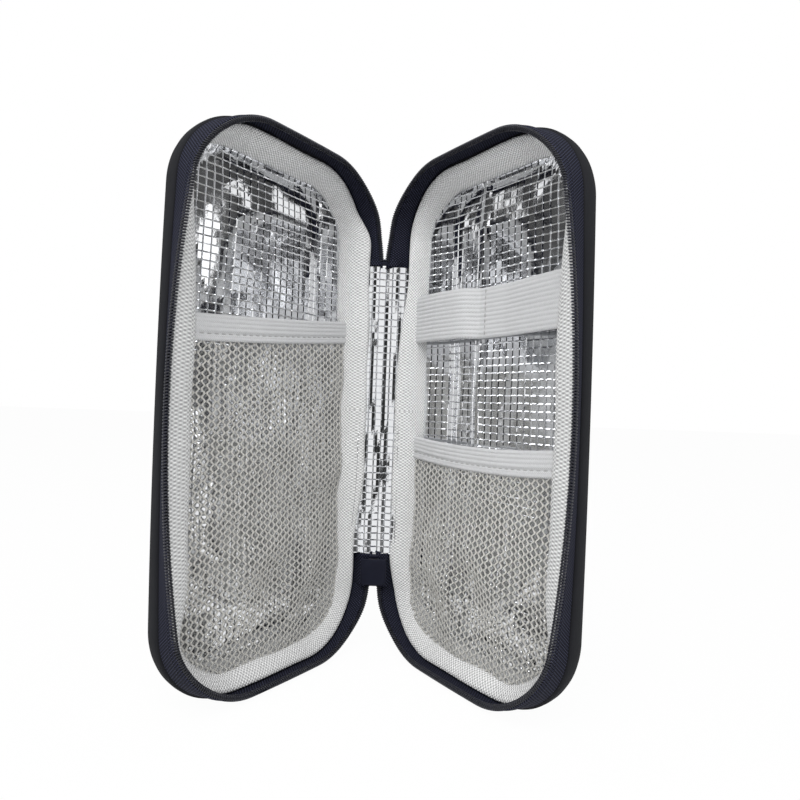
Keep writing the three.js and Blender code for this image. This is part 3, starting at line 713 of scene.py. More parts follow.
SHORT_LAP = section_of(
    (5.6, 8.9), (5.1, 8.5), (5.2, 7.9), (5.6, 7.7), (5.9, 8.0), (6.2, 8.5),
    (6.6, 9.3), (7.0, 10.4), (7.4, 11.9), (8.0, 13.4), (8.5, 14.8), (8.8, 15.9),
    (8.5, 16.3), (7.6, 15.2), (6.9, 13.4), (6.5, 11.8), (6.2, 10.5), (5.9, 9.5))
LAP_LENGTH = 5 * MM
CORNER_LOW = 2.6 * MM
CORNER_LOW_AT = RUN_KNOTS[3] + 22 * MM
CORNER_LOW_REACH = 13 * MM

# Stretches of the outline over which the binding's section changes from one to the next
SIDE_STARTS = (RUN_KNOTS[4] - 14 * MM, RUN_KNOTS[4] + 48 * MM)
SIDE_ENDS = (RUN_KNOTS[5] - 16 * MM, RUN_KNOTS[5] + 14 * MM)
LAP_ENDS = {-1: (70 * MM, 90 * MM), 1: (60 * MM, 80 * MM)}
LAP_STARTS = (60 * MM, 80 * MM)


def lap_share(side, v):
    """Share of the way from the long lap to the short one at a height, below nought where longer."""
    if side > 0:
        back = 0.2 * MM + 3.8 * MM * smooth(v, 10 * MM, 62 * MM)
    else:
        back = 3.4 * MM * smooth(-v, 25 * MM, 62 * MM) - 0.9 * MM
        back = back + 0.6 * MM * smooth(v, 10 * MM, 60 * MM)
    return back / LAP_LENGTH


def binding(side, sizes):
    """The binding's section carried round the outline with a fine rib across it.

    The section eases from the top's to the foot's, to the outer side's, which covers the tape up to
    the coil, and to the spine's, which laps over the edge of the strip. It is narrowest in the outer
    top corner. The rib is a raised cosine of the length.
    """
    samples = int(RUN_TOTAL / sizes.binding_rib) * 6
    run = np.arange(samples)[None, :] / samples * RUN_TOTAL
    height = np.where(run < RUN_TOTAL / 2, run, run - RUN_TOTAL)
    lap = LONG_LAP + (SHORT_LAP - LONG_LAP) * lap_share(side, height)
    at_side = smooth(run, *SIDE_STARTS) * (1 - smooth(run, *SIDE_ENDS))
    at_foot = smooth(run, RUN_KNOTS[4], RUN_KNOTS[5])
    at_spine = 1 - smooth(height, *LAP_ENDS[side]) - smooth(-height, *LAP_STARTS)
    section = TOP_SECTION + (FOOT_SECTION - TOP_SECTION) * at_foot
    section = section + (SIDE_SECTION - section) * at_side
    inset, depth = section + (lap - section) * at_spine
    low = CORNER_LOW * bell(run - CORNER_LOW_AT, CORNER_LOW_REACH)
    inset = inset - low * smooth(inset, 4 * MM, 9 * MM)
    front = np.zeros((len(inset), 1))
    front[1:12] = 1
    rib = sizes.rib_height * (0.5 - 0.5 * np.cos(2 * np.pi * run / sizes.binding_rib)) * front
    pucker = ripple(run, 0 * inset, BINDING_PUCKER, 3) * front
    depth = depth - rib - pucker
    points = on_shell(side, run, inset, depth)
    along_tape = on_tape(side, run, inset - TAPE_SEAM_INSET, depth)
    tape_share = (at_side * (1 - smooth(depth, 5 * MM, TAPE_WIDTH)))[..., None]
    points = points + (along_tape - points) * tape_share
    steps = np.hypot(*np.diff(TOP_SECTION[:, :, 0]))
    length = np.concatenate(((0,), np.cumsum(steps)))[:, None]
    return lattice(points, flat_uv(run, length), wrap=(True, True), period=(length[1, 0] / MM, 0))


TAPE_START = SPINE_TOP + TAPE_RUN_ON
TAPE_END = RUN_TOTAL + SPINE_FOOT - TAPE_RUN_ON
COIL_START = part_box("top_tape_join")[1].z - MIDDLE_Z
COIL_END = RUN_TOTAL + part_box("bottom_tape_join")[0].z - MIDDLE_Z


def zip_tape(side):
    """The tape as a ruled band from the zip line to its seam, with rounded edges and a sewn ridge."""
    run = np.linspace(TAPE_START, TAPE_END, 620)[:, None]
    drop = np.linspace(0, 1, 17)
    ridge = TAPE_RIDGE * bell(drop - RIDGE_SHARE, 0.05)
    thin = TAPE_THINNING * (1 - smooth(drop, 0.05, RIDGE_SHARE))
    depth = TAPE_FREE_EDGE + (TAPE_WIDTH - 0.2 * MM - TAPE_FREE_EDGE) * drop
    inset = np.concatenate((-ridge, (TAPE_WALL + ridge - thin)[::-1]))[None, :]
    depth = np.concatenate((depth, depth[::-1]))[None, :]
    points = on_tape(side, run, inset, depth)
    return lattice(points, flat_uv(run, depth), **TUBE)


def zip_coil(side, sizes):
    """A wire wound along the tape's inner face: the wire's own circle carried round a turning one."""
    turns = (COIL_END - COIL_START) / sizes.coil_pitch
    share = np.linspace(0, 1, int(turns * SAMPLES_PER_TURN))[:, None]
    turn = 2 * np.pi * turns * share
    ring = ring_of(5)
    reach = COIL_RADIUS + COIL_WIRE * np.cos(ring)
    run = COIL_START + (COIL_END - COIL_START) * share + COIL_WIRE * np.sin(ring)
    inset = COIL_INSET - reach * np.cos(turn)
    depth = COIL_LEVEL + reach * np.sin(turn) * COIL_STRETCH
    u, v = ZIP_LINE.at(run, inset)
    points = drawn_in(side, in_half(side, u, depth, v), v, 0 * v)
    return lattice(points, flat_uv(run, COIL_WIRE * ring), **TUBE)


def outer_edge_at(v, depth):
    """u of the pockets' outer edge at a height and a depth."""
    fade = (HALF_DEPTH - depth) / (HALF_DEPTH - TAPE_WIDTH)
    return SHELL_LINE.swell(HALF_WIDTH - POCKET_INSET, v, POCKET_INSET, fade)[0]


def hem_reach(name, drop=0.0):
    """u of a hem's outer end, at a drop below its top edge."""
    return outer_edge_at(HEMS[name][1] - drop, NET_LEVEL)


def hem_pucker(side, u):
    """Shift in depth of a hem, gathered a little by its seam."""
    return 0.5 * ripple(u, 0 * u, HEM_PUCKER, 31 if side < 0 else 32)


def hem_top(name, u):
    """Height of a hem's top edge: an even slope with a sag in the middle."""
    inner, outer, sag = HEMS[name]
    share = (u - POCKET_INSET) / (hem_reach(name) - POCKET_INSET)
    return inner + (outer - inner) * share - sag * 4 * share * (1 - share)


def net_depth(name, u, v):
    """Depth of a net: bellied towards the zip line, with soft folds near its foot."""
    across = 2 * u / (POCKET_INSET + outer_edge_at(0, NET_LEVEL)) - 1
    along = 2 * (v + HALF_END) / (hem_top(name, u) - HEM_HEIGHT + HALF_END) - 1
    belly = NET_BELLY * np.maximum(0, 1 - across**2) * np.maximum(0, 1 - along**2)
    folds = ripple(u, v, NET_FOLDS, 21)
    near_foot = 1 - smooth(v + HALF_END, *SLACK_FADES)
    slack = NET_SLACK * np.sin((u + SLACK_LEAN * v) / SLACK_PER_TURN) * near_foot
    return NET_LEVEL + 0.3 * MM - belly - (folds + slack) * np.maximum(0, 1 - along**2)


def net(name, side, sizes):
    """Zigzag threads side by side, each touching one neighbour at even rows and the other at odd rows.

    A thread's place across is a rounded triangle wave of its height. Its round section swells at the
    knots. Threads are drawn in to the liner's outline at their foot and to the hem at their top.
    """
    half_step = sizes.net_across / 2
    columns = np.arange(int(HALF_WIDTH / sizes.net_across) + 1)
    rows = np.arange(-HALF_END, 45 * MM, sizes.net_along / 6)
    beat = np.cos(np.pi * rows / (sizes.net_along / 2))
    wave = np.clip((np.arccos(0.96 * beat) / np.pi - 0.5) * 1.6 + 0.5, 0, 1)
    slack = half_step - 2 * sizes.net_thread
    left_going = columns[:, None] * sizes.net_across - sizes.net_thread - wave * slack
    right_going = columns[:, None] * sizes.net_across + sizes.net_thread + wave * slack
    u = np.concatenate((left_going, right_going))
    low = POCKET_INSET + 0.3 * MM
    inset, _ = inset_of(u, rows + 0 * u)
    top = hem_top(name, u) - HEM_HEIGHT + 0.8 * MM
    inside = (inset > low) & (rows < top)
    u, v = np.clip(u, low, None), rows + 0 * u
    swell = 1 + 0.35 * np.abs(beat) ** 6
    patches = []
    for thread in np.flatnonzero(inside.sum(1) > 6):
        span = np.flatnonzero(inside[thread])
        patches.append(net_thread(name, side, u[thread, span], v[thread, span], swell[span], sizes))
    return patches


def net_thread(name, side, u, v, swell, sizes):
    """One thread: a flattened four-sided round carried along its line, in the half's own plane."""
    ring = ring_of(4, 0.5)
    radius = sizes.net_thread * swell[:, None]
    depth = net_depth(name, u, v)[:, None] + 0.6 * radius * np.sin(ring)
    bowed = SHELL_LINE.swell(u, v, POCKET_INSET, 0.9)[0][:, None]
    points = in_half(side, bowed + radius * np.cos(ring), depth, v[:, None])
    return lattice(points, flat_uv(v[:, None], radius * ring), **TUBE)


def ribbed_section(height, wall, ribs, rib_rise):
    """Height and depth round a ribbed elastic's section: scalloped front, flat back, rounded ends."""
    share = np.linspace(0, 1, ribs * 6 + 1)
    scallop = rib_rise * np.abs(np.sin(np.pi * ribs * share))
    edge = 1 - (2 * share - 1) ** 16
    front = np.stack((share * height, wall / 2 - (wall / 2 + scallop) * edge))
    back = np.stack((share[::-2] * height, wall / 2 + wall / 2 * edge[::-2]))
    return np.concatenate((front, back[:, 1:-1]), axis=1)


def hem(name, side):
    """The pocket's elastic top: its ribbed section carried across the half, sagging and puckered.

    Its seam lies in a groove.
    """
    section = ribbed_section(HEM_HEIGHT, HEM_WALL * 0.8, ribs=6, rib_rise=0.25 * MM)
    up, back = section[:, None, :]
    u = np.linspace(POCKET_INSET, hem_reach(name, HEM_HEIGHT), 150)[:, None]
    low = hem_top(name, u) - HEM_HEIGHT
    groove = 0.45 * MM * bell(up - HEM_SEAM, 0.45 * MM) * (back < HEM_WALL / 2)
    depth = HEM_FACE + back + hem_pucker(side, u) + groove
    points = in_half(side, u, depth, low + up)
    return lattice(points, flat_uv(u, up + back), **TUBE)


def hem_stitches(name, side, pitch):
    """The seam of a hem: stitches along its groove, set in by 0.3 mm."""

    def place(share, out, across):
        """The point at a share of the seam, shifted out of the hem and across the seam."""
        u = POCKET_INSET + (hem_reach(name, HEM_HEIGHT) - POCKET_INSET) * share
        depth = HEM_FACE + hem_pucker(side, u) + 0.3 * MM
        return in_half(side, u, depth - out, hem_top(name, u) - HEM_HEIGHT + HEM_SEAM + across)

    return stitches(place, hem_reach(name) - POCKET_INSET, pitch)


def stitches(place, length, pitch, gap=0.9 * MM, radius=0.24 * MM):
    """Stitches along a line: capsules, each bowed out of the cloth and ending in it.

    place gives points for a share of the line and shifts out of the cloth and across the line.
    """
    count = int(length / pitch)
    starts = np.arange(count)[:, None, None] * pitch
    along = np.linspace(0, 1, 7)[None, :, None]
    ring = ring_of(6)
    round_end = np.sqrt(np.maximum(0.03, 1 - (2 * along - 1) ** 4))
    share = (starts + gap / 2 + along * (pitch - gap)) / length
    out = radius * (0.9 * round_end - 0.35) + radius * round_end * np.sin(ring)
    points = place(share, out, radius * round_end * np.cos(ring))
    uv = flat_uv(np.broadcast_to(starts + along * pitch, points.shape[:-1]), ring * radius)
    return lattice(points, uv, **TUBE)


def band_line():
    """u and depth along the pen band: level, over a bend, down to its tack and up to the far side."""
    tack_depth = LINER_FLOOR - 1.0 * MM - FLOOR_SWELL
    far = outer_edge_at(BAND_FOOT + BAND_HEIGHT, BAND_LEVEL)
    places = (POCKET_INSET, *BAND_PLACES, far)
    depths = np.array(BAND_DROPS) * (LINER_FLOOR - BAND_LEVEL) + BAND_LEVEL
    u = np.linspace(POCKET_INSET, far, 170)
    depth = np.minimum(np.interp(u, places, depths), tack_depth)
    kernel = np.hanning(11) / np.hanning(11).sum()
    return u, np.convolve(np.pad(depth, 5, mode="edge"), kernel, mode="valid")


def pen_band(side):
    """The band: its ribbed section carried along its line, square to it."""
    section = ribbed_section(BAND_HEIGHT, BAND_WALL * 0.8, ribs=12, rib_rise=0.3 * MM)
    up, back = section[:, None, :]
    u, depth = (part[:, None] for part in band_line())
    slope = np.gradient(depth[:, 0], u[:, 0])[:, None]
    size = np.hypot(1, slope)
    shift = back - BAND_WALL / 2
    points = in_half(side, u - shift * slope / size, depth + shift / size, BAND_FOOT + up)
    return lattice(points, flat_uv(u, up + back), **TUBE)


def spine_sheet(sizes):
    """The strip's film: ridged cells like the liner's, gathered in upright folds between its laps."""
    left, right = STRIP_EDGES
    across = foil_lines(left, right, sizes.foil_across * 0.9)
    along = foil_lines(SPINE_FOOT, SPINE_TOP, sizes.foil_along)
    x, z = np.meshgrid(across[0], along[0])
    z = np.clip(z, SPINE_FOOT, SPINE_TOP)
    left_edge = left + 1.6 * MM * (1 - smooth(-z, 25 * MM, 60 * MM))
    right_edge = right - 3 * MM * (1 - smooth(z, 10 * MM, 50 * MM))
    x = np.clip(x, left_edge, right_edge)
    height = embossing(across, along, sizes, 17)
    drift = 1.6 * MM * np.sin(z / (21 * MM)) + 0.8 * MM * np.sin(z / (9 * MM) + 1)
    folds = 0.6 * np.sin((x + drift) / (1.5 * MM)) + 0.4 * np.sin((x - 1.4 * drift) / (2.6 * MM) + 0.7)
    gather = STRIP_GATHER * folds * (1 + 0.4 * smooth(z, 20 * MM, 60 * MM))
    y = SPINE_FACE - STRIP_RISE - height + gather
    points = np.stack((x, HINGE_Y + y, MIDDLE_Z + z), -1)
    return lattice(points, flat_uv(x, z))


def spine_slab(half, front, back, wrinkle_height=0.0):
    """A soft slab: a rounded section, as a flattened circle of high power, carried up the spine."""
    turn = ring_of(48)
    z = np.linspace(SPINE_FOOT, SPINE_TOP, 160)[:, None]
    ends = [np.clip(reach / (0.8 * MM), 0.05, 1) for reach in (z - SPINE_FOOT, SPINE_TOP - z)]
    pinch = np.sqrt(ends[0]) * np.sqrt(ends[1])
    wrinkle = wrinkle_height * np.sin(z / (1.9 * MM)) * np.maximum(0, np.sin(turn))
    x = half * squared(np.cos(turn), 0.3)
    y = (front + back) / 2 + (back - front) / 2 * squared(np.sin(turn), 0.3) * pinch + wrinkle
    points = np.stack(np.broadcast_arrays(x, HINGE_Y + y, MIDDLE_Z + z), -1)
    return lattice(points, flat_uv(x, z), **TUBE)


def tape_join(low, high):
    """Joined tape ends: flat under the chain, falling in a soft curve to the spine's edges."""
    x = np.linspace(-JOIN_HALF_WIDTH, JOIN_HALF_WIDTH, 41)
    fall = smooth(np.abs(x), *JOIN_FALLS)
    face = -JOIN_RISE - JOIN_WALL + (JOIN_RISE - 0.2 * MM) * fall
    section_x = np.concatenate((x, x[::-1]))[None, :]
    section_y = np.concatenate((face, face[::-1] + JOIN_WALL))[None, :]
    z = np.linspace(low, high, 26)[:, None]
    sway = 0.12 * MM * np.sin(z / (1.6 * MM))
    points = np.stack(np.broadcast_arrays(section_x, HINGE_Y + section_y + sway, MIDDLE_Z + z), -1)
    return lattice(points, flat_uv(section_x, z), **TUBE)


def cushion(span_x, span_y, span_z, power):
    """A rounded block between three spans: a circle raised to a power upright, and another across it."""
    turn = ring_of(48)
    rise = np.linspace(-0.49 * np.pi, 0.49 * np.pi, 17)[:, None]
    across = squared(np.cos(rise), 2 / power)
    placed = zip((span_x, span_y, span_z), (
        across * squared(np.cos(turn), 2 / power),
        squared(np.sin(rise), 2 / power) + 0 * turn,
        across * squared(np.sin(turn), 2 / power),
    ))
    points = np.stack([(low + high) / 2 + (high - low) / 2 * share for (low, high), share in placed], -1)
    return lattice(points, flat_uv(points[..., 0], points[..., 2]), **TUBE)


def rounded_copy(name, source, width, material):
    """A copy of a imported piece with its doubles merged, its flat faces joined and its edges rounded."""
    work = bmesh.new()
    work.from_mesh(frame["nodes"][source].data)
    bmesh.ops.remove_doubles(work, verts=work.verts, dist=0.01 * MM)
    bmesh.ops.dissolve_limit(work, angle_limit=math.radians(1), verts=work.verts, edges=work.edges)
    mesh = bpy.data.meshes.new(name)
    work.to_mesh(mesh)
    work.free()
    mesh.materials.clear()
    mesh.materials.append(material)
    mesh.polygons.foreach_set("use_smooth", np.full(len(mesh.polygons), True))
    piece = add_object(name, mesh)
    edges = piece.modifiers.new("edges", "BEVEL")
    edges.width = width
    edges.segments = 3
    edges.limit_method = "ANGLE"
    edges.angle_limit = math.radians(25)
    edges.harden_normals = True
    return piece


def towards_opening(side):
    """The direction out of a half through its zip line."""
    return np.array((-side * math.sin(OPEN_ANGLE), -math.cos(OPEN_ANGLE), 0))


def length_property(name, description, value):
    """A length that a user may change, with its default in millimetres."""
    return bpy.props.FloatProperty(
        name=name, description=description, default=value * MM, unit="LENGTH")


class CaseSizes(bpy.types.PropertyGroup):
    """Sizes of the fine forms that a user may change."""

    foil_across: length_property("Foil cell across", "Pitch of the cells away from the spine", 3.12)
    foil_along: length_property("Foil cell along", "Pitch of the cells along the spine", 2.88)
    ridge_height: length_property("Foil ridge height", "Rise of the ridges between the cells", 0.3)
    cell_tilt: bpy.props.FloatProperty(
        name="Foil cell tilt", description="Spread of the slopes of the film's cells", default=0.007)
    binding_rib: length_property("Binding rib", "Pitch of the ribs across the binding tape", 1.3)
    rib_height: length_property("Rib height", "Rise of the binding's ribs", 0.04)
    net_across: length_property("Net step across", "Pitch of the net's holes away from the spine", 3.78)
    net_along: length_property("Net step along", "Pitch of the net's holes along the spine", 2.7)
    net_thread: length_property("Net thread radius", "Radius of one thread of the net", 0.45)
    coil_pitch: length_property("Coil pitch", "Length of the zip's coil for one turn", 0.95)
    stitch_pitch: length_property("Stitch pitch", "Length of one stitch and its gap", 2.9)


def colour_property(name, description, value):
    """A colour that a user may change."""
    return bpy.props.FloatVectorProperty(
        name=name, description=description, default=value, subtype="COLOR", size=3, min=0, max=1)


class CaseColours(bpy.types.PropertyGroup):
    """Colours of the finishes that a user may change."""

    shell: colour_property("Shell", "Charcoal of the moulded shells", (0.013, 0.0135, 0.016))
    foil: colour_property("Foil", "Bright film of the liners", (0.84, 0.85, 0.87))
    foam: colour_property("Foam", "Insulation between shell and liner", (0.82, 0.82, 0.79))
    binding: colour_property("Binding", "White tape over the rims", (0.94, 0.945, 0.955))
    tape: colour_property("Zip tape", "Navy-black of the zip", (0.006, 0.0065, 0.011))
    net: colour_property("Net", "Yarn of the pockets", (0.6, 0.59, 0.555))
    elastic: colour_property("Elastic", "Hems and pen band", (0.62, 0.625, 0.635))
    # The thread is white; its grey here is painted shade, the dark of the seams' grooves
    thread: colour_property("Thread", "Sewing thread", (0.38, 0.38, 0.38))
    enamel: colour_property("Enamel", "Slider and pull", (0.008, 0.009, 0.018))


class StageSettings(bpy.types.PropertyGroup):
    """Lamps and backdrop."""

    key_power: bpy.props.FloatProperty(
        name="Key lamp", description="Power of the soft lamp above the front", default=6.5, unit="POWER")
    fill_power: bpy.props.FloatProperty(
        name="Fill lamps", description="Power of the two side lamps", default=1.6, unit="POWER")
    world_level: bpy.props.FloatProperty(
        name="World level", description="Strength of the light from all round", default=0.42, min=0)


class COOLING_CASE_OT_shells(bpy.types.Operator):
    """Build both moulded shells and the insulation inside them"""

    bl_idname = "cooling_case.shells"
    bl_label = "Shells and Insulation"

    def execute(self, context):
        for name, side in SIDES.items():
            body = name + "_half"
            shell = bowl(side, 0, SHELL_WALL)
            add_piece(name + "_moulded_shell", "shell_fabric", body, shell, name + "_shell")
            pad = bowl(side, FOAM_OFFSET, FOAM_WALL, 300)
            pad = add_piece(name + "_insulation_pad", "insulation_foam", body, pad, name + "_insulation")
        return {"FINISHED"}


class COOLING_CASE_OT_liners(bpy.types.Operator):
    """Build the embossed foil liners"""

    bl_idname = "cooling_case.liners"
    bl_label = "Foil Liners"

    def execute(self, context):
        sizes = context.scene.case_sizes
        for name, side in SIDES.items():
            liner = add_piece(
                name + "_foil_film", "foil_film", name + "_half", foil_liner(side, sizes),
                name + "_foil_liner", towards=towards_opening(side), shade_smooth=False)
            thicken(liner, FOIL_WALL)
        return {"FINISHED"}


class COOLING_CASE_OT_bindings(bpy.types.Operator):
    """Build the woven bindings over the rims"""

    bl_idname = "cooling_case.bindings"
    bl_label = "Bindings"

    def execute(self, context):
        sizes = context.scene.case_sizes
        for name, side in SIDES.items():
            edge = binding(side, sizes)
            edge = add_piece(name + "_bound_edge", "binding_tape", None, edge, name + "_binding")
            bend_at_hinge(edge)
        return {"FINISHED"}


def bend_at_hinge(piece):
    """Bakes a piece's transform into its mesh, leaving it in place in the frame."""
    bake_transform(piece)


class COOLING_CASE_OT_zip(bpy.types.Operator):
    """Build the zip tapes and the coils wound along their free edges"""

    bl_idname = "cooling_case.zip"
    bl_label = "Zip Tapes and Coils"

    def execute(self, context):
        sizes = context.scene.case_sizes
        for name, side in SIDES.items():
            for ending, slot, patch in (
                ("_woven_tape", "zip_tape", zip_tape(side)),
                ("_wound_coil", "zip_coil", zip_coil(side, sizes)),
            ):
                bend_at_hinge(add_piece(name + ending, slot, None, patch, name + "_" + slot))
        return {"FINISHED"}


class COOLING_CASE_OT_pockets(bpy.types.Operator):
    """Build the nets, their ribbed hems and the hems' stitches"""

    bl_idname = "cooling_case.pockets"
    bl_label = "Mesh Pockets"

    def execute(self, context):
        sizes = context.scene.case_sizes
        for name, side in SIDES.items():
            body = name + "_half"
            top = add_piece(name + "_ribbed_hem", "elastic", body, hem(name, side), name + "_pocket_hem")
            seam = hem_stitches(name, side, sizes.stitch_pitch)
            row = add_piece(name + "_hem_stitches", "thread", body, seam, name + "_hem_stitching")
            threads = net(name, side, sizes)
            mesh = add_piece(name + "_knit_net", "pocket_net", body, threads, name + "_mesh_pocket")
        return {"FINISHED"}


class COOLING_CASE_OT_pen_band(bpy.types.Operator):
    """Build the ribbed pen band and the stitches that tack it down"""

    bl_idname = "cooling_case.pen_band"
    bl_label = "Pen Band"

    def execute(self, context):
        band = add_piece("ribbed_pen_band", "elastic", "right_half", pen_band(1), "pen_band")
        tack = stitches(tack_place, TACK_LENGTH, pitch=2.3 * MM, gap=0.5 * MM)
        row = add_piece("band_tack_stitches", "thread", "right_half", tack, "band_tack")
        return {"FINISHED"}


def tack_place(share, out, across):
    """The point at a share of the band's tack, shifted out of the band and across the tack."""
    face = np.interp(BAND_TACK, *band_line()) - BAND_WALL / 2 - 0.1 * MM
    return in_half(1, BAND_TACK + across, face - out, BAND_FOOT + 1 * MM + share * TACK_LENGTH)


class COOLING_CASE_OT_spine(bpy.types.Operator):
    """Build the spine's cover, insulation, film and the joined tape ends"""

    bl_idname = "cooling_case.spine"
    bl_label = "Spine"

    def execute(self, context):
        slab = spine_slab(half=9.9 * MM, front=-1.2 * MM, back=0, wrinkle_height=0.06 * MM)
        add_piece("spine_fold", "shell_fabric", "spine", slab, "spine_cover")
        slab = spine_slab(half=8.4 * MM, front=-3.5 * MM, back=-1.4 * MM)
        pad = add_piece("spine_pad", "insulation_foam", "spine", slab, "spine_insulation")
        film = add_piece(
            "spine_film", "foil_film", "spine", spine_sheet(context.scene.case_sizes), "spine_foil",
            towards=np.array((0, -1, 0)), shade_smooth=False)
        thicken(film, FOIL_WALL)
        for name, source in (("upper_tape_end", "top_tape_join"), ("lower_tape_end", "bottom_tape_join")):
            low, high = (corner.z - MIDDLE_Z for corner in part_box(source))
            add_piece(name, "zip_tape", "spine", tape_join(low, high), source)
        return {"FINISHED"}


class COOLING_CASE_OT_slider(bpy.types.Operator):
    """Build the slider, its pull, the parked chain and the stops"""

    bl_idname = "cooling_case.slider"
    bl_label = "Slider and Stops"

    def execute(self, context):
        for name, source, body, width, slot in (
            ("cast_slider", "slider", "slider", 0.5 * MM, "slider_metal"),
            ("stamped_pull", "pull_tab", "pull", 0.35 * MM, "slider_metal"),
            ("closed_chain", "parked_chain", "spine", 0.3 * MM, "zip_coil"),
        ):
            piece = rounded_copy(name, source, width, finish_of(slot))
            settle(piece, body, slot, source)
        low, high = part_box("slider")
        across, upright = (low.x, high.x), (low.z, high.z)
        shield = cushion(across, (low.y - 0.3 * MM, low.y + 0.9 * MM), upright, power=2.6)
        add_piece("slider_face", "slider_metal", "slider", shield)
        for name, source in (("upper_stop", "zip_end_stop"), ("lower_stop", "zip_start_stop")):
            low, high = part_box(source)
            across, upright = (0.7 * low.x, 0.7 * high.x), (low.z, high.z)
            stop = cushion(across, (high.y - 1.2 * MM, high.y), upright, power=4)
            add_piece(name, "slider_metal", "spine", stop, source)
        return {"FINISHED"}


def area_lamp(name, place, size, power):
    """A soft rectangular lamp that looks at the middle of the case."""
    data = bpy.data.lights.new(name, "AREA")
    data.shape = "RECTANGLE"
    data.size, data.size_y = size
    data.energy = power
    lamp = add_object(name, data)
    lamp.location = place
    lamp.rotation_mode = "QUATERNION"
    lamp.rotation_quaternion = (Vector((0, 0, MIDDLE_Z)) - Vector(place)).to_track_quat("-Z", "Y")


def seen_rays(tree):
    """1 for rays of the camera, of glossy faces and through clear ones."""
    path = node(tree, "ShaderNodeLightPath").outputs
    both = maths(tree, "MAXIMUM", path["Is Camera Ray"], path["Is Glossy Ray"])
    return maths(tree, "MAXIMUM", both, path["Is Transmission Ray"])


# Camera, as fitted to the photo
CAMERA_PLACE = (8.3 * MM, -216.6 * MM, 104.1 * MM)
CAMERA_YAW = 0.002
CAMERA_PITCH = 0.0105
CAMERA_ROLL = 0.036
CAMERA_LENS = 26.0


def add_camera():
    """A level camera turned by yaw, pitch and roll, in that order."""
    data = bpy.data.cameras.new("camera")
    data.lens = CAMERA_LENS
    data.sensor_width = 36.0
    data.clip_start = 0.01
    camera = add_object("camera", data)
    level = Matrix.Rotation(math.pi / 2 + CAMERA_PITCH, 4, "X")
    turn = Matrix.Rotation(-CAMERA_YAW, 4, "Z")
    roll = Matrix.Rotation(CAMERA_ROLL, 4, "Z")
    camera.matrix_world = Matrix.Translation(CAMERA_PLACE) @ turn @ level @ roll
    bpy.context.scene.camera = camera


def mix_shown(tree, factor, first, second, output):
    """Mixes two shader nodes by a factor into an output node."""
    mixed = node(tree, "ShaderNodeMixShader", {0: factor, 1: first.outputs[0], 2: second.outputs[0]})
    node(tree, output, {0: mixed.outputs[0]})


def add_floor():
    """A wide pale floor that shows as plain white and keeps the shadow."""
    bpy.ops.mesh.primitive_plane_add(size=8, location=(0, 0, 0))
    floor = bpy.context.object
    floor.name = "floor"
    material = bpy.data.materials.new("floor white")
    material.use_nodes = True
    tree = material.node_tree
    tree.nodes.clear()
    matt = node(tree, "ShaderNodeBsdfDiffuse", {"Color": (0.9, 0.9, 0.9, 1)})
    plain = node(tree, "ShaderNodeEmission", {"Color": (1, 1, 1, 1), "Strength": 1.0})
    factor = maths(tree, "MULTIPLY", seen_rays(tree), 0.97)
    mix_shown(tree, factor, matt, plain, "ShaderNodeOutputMaterial")
    floor.data.materials.append(material)


def add_card(name, place, size, grey=0.02, rotation=(math.pi / 2, 0, 0)):
    """A dark card, upright unless its rotation says otherwise, that only the reflections see: a painted
    dark reflection.
    """
    bpy.ops.mesh.primitive_plane_add(size=1, location=place, rotation=rotation)
    card = bpy.context.object
    card.name = name
    card.scale = (*size, 1)
    for kind in ("visible_camera", "visible_diffuse", "visible_shadow", "visible_transmission"):
        setattr(card, kind, False)
    material = bpy.data.materials.new(name)
    material.use_nodes = True
    shader = material.node_tree.nodes["Principled BSDF"]
    shader.inputs["Base Color"].default_value = (grey, grey, grey, 1)
    card.data.materials.append(material)


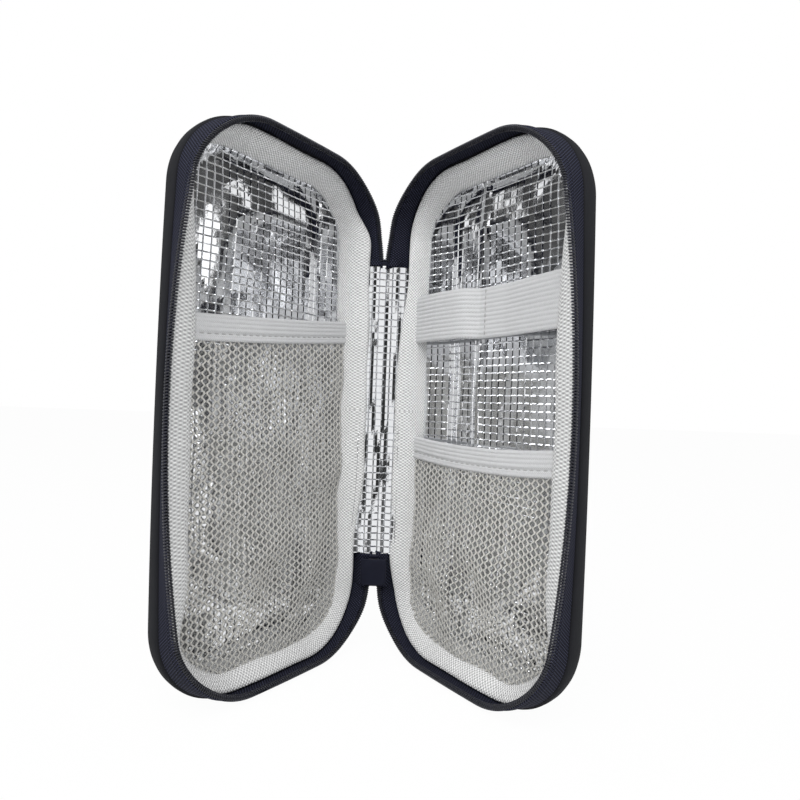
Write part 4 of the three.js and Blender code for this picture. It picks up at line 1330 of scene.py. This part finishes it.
class COOLING_CASE_OT_stage(bpy.types.Operator):
    """Build the camera, lamps, floor and backdrop"""

    bl_idname = "cooling_case.stage"
    bl_label = "Stage"

    def execute(self, context):
        stage = context.scene.case_stage
        add_camera()
        add_floor()
        area_lamp("key", (-0.1, -0.55, 0.75), (0.7, 0.5), stage.key_power)
        for name, side in SIDES.items():
            area_lamp(name + "_fill", (side * 0.7, -0.5, 0.25), (0.5, 0.7), stage.fill_power)
        world = bpy.data.worlds.new("studio")
        context.scene.world = world
        world.use_nodes = True
        tree = world.node_tree
        tree.nodes.clear()
        levels = (stage.world_level, 1.0)
        lit, seen = (node(tree, "ShaderNodeBackground", {0: (1, 1, 1, 1), 1: level}) for level in levels)
        mix_shown(tree, seen_rays(tree), lit, seen, "ShaderNodeOutputWorld")
        # Dark cards seen only in reflections: painted dark reflections of the shaded room round the
        # camera
        add_card("camera_card", (0.009, -0.32, 0.2), (0.118, 0.6), 0.015)
        add_card("high_card", (0, -0.322, 0.45), (0.7, 0.26))
        add_card("back_card", (0, 0.5, 0.6), (1.3, 0.8))
        add_card("floor_card", (-0.012, -0.16, 0.001), (0.05, 0.3), rotation=(0, 0, 0))
        sideways = (math.pi / 2, 0, math.pi / 2)
        for name, side in SIDES.items():
            add_card(name + "_flag", (side * 0.9, -0.25, 0.38), (0.7, 0.7), rotation=sideways)
        context.scene.view_settings.view_transform = "Standard"
        return {"FINISHED"}


OPERATORS = (
    COOLING_CASE_OT_shells,
    COOLING_CASE_OT_liners,
    COOLING_CASE_OT_bindings,
    COOLING_CASE_OT_zip,
    COOLING_CASE_OT_pockets,
    COOLING_CASE_OT_pen_band,
    COOLING_CASE_OT_spine,
    COOLING_CASE_OT_slider,
    COOLING_CASE_OT_stage,
)


class COOLING_CASE_PT_panel(bpy.types.Panel):
    """Lists the case's sizes, colours and pieces"""

    bl_idname = "COOLING_CASE_PT_panel"
    bl_label = "Cooling Case"
    bl_space_type = "VIEW_3D"
    bl_region_type = "UI"
    bl_category = "Cooling Case"

    def draw(self, context):
        for operator in OPERATORS:
            self.layout.operator(operator.bl_idname)
        for group in (context.scene.case_sizes, context.scene.case_colours, context.scene.case_stage):
            for key in group.bl_rna.properties.keys():
                if key not in ("rna_type", "name"):
                    self.layout.prop(group, key)


CLASSES = (CaseSizes, CaseColours, StageSettings, *OPERATORS, COOLING_CASE_PT_panel)


def register():
    """Registers the classes and gives the scene its three groups of properties."""
    for item in CLASSES:
        bpy.utils.register_class(item)
    bpy.types.Scene.case_sizes = bpy.props.PointerProperty(type=CaseSizes)
    bpy.types.Scene.case_colours = bpy.props.PointerProperty(type=CaseColours)
    bpy.types.Scene.case_stage = bpy.props.PointerProperty(type=StageSettings)


def unregister():
    """Takes away what register gave."""
    del bpy.types.Scene.case_stage
    del bpy.types.Scene.case_colours
    del bpy.types.Scene.case_sizes
    for item in reversed(CLASSES):
        bpy.utils.unregister_class(item)


def corners(bounds):
    """The two corners of a box as lists."""
    return [list(corner) for corner in bounds]


def main():
    """Builds the case and its stage."""
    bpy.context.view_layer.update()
    register()
    for operator in OPERATORS:
        group, name = operator.bl_idname.split(".")
        getattr(getattr(bpy.ops, group), name)()


if __name__ == "__main__":
    main()
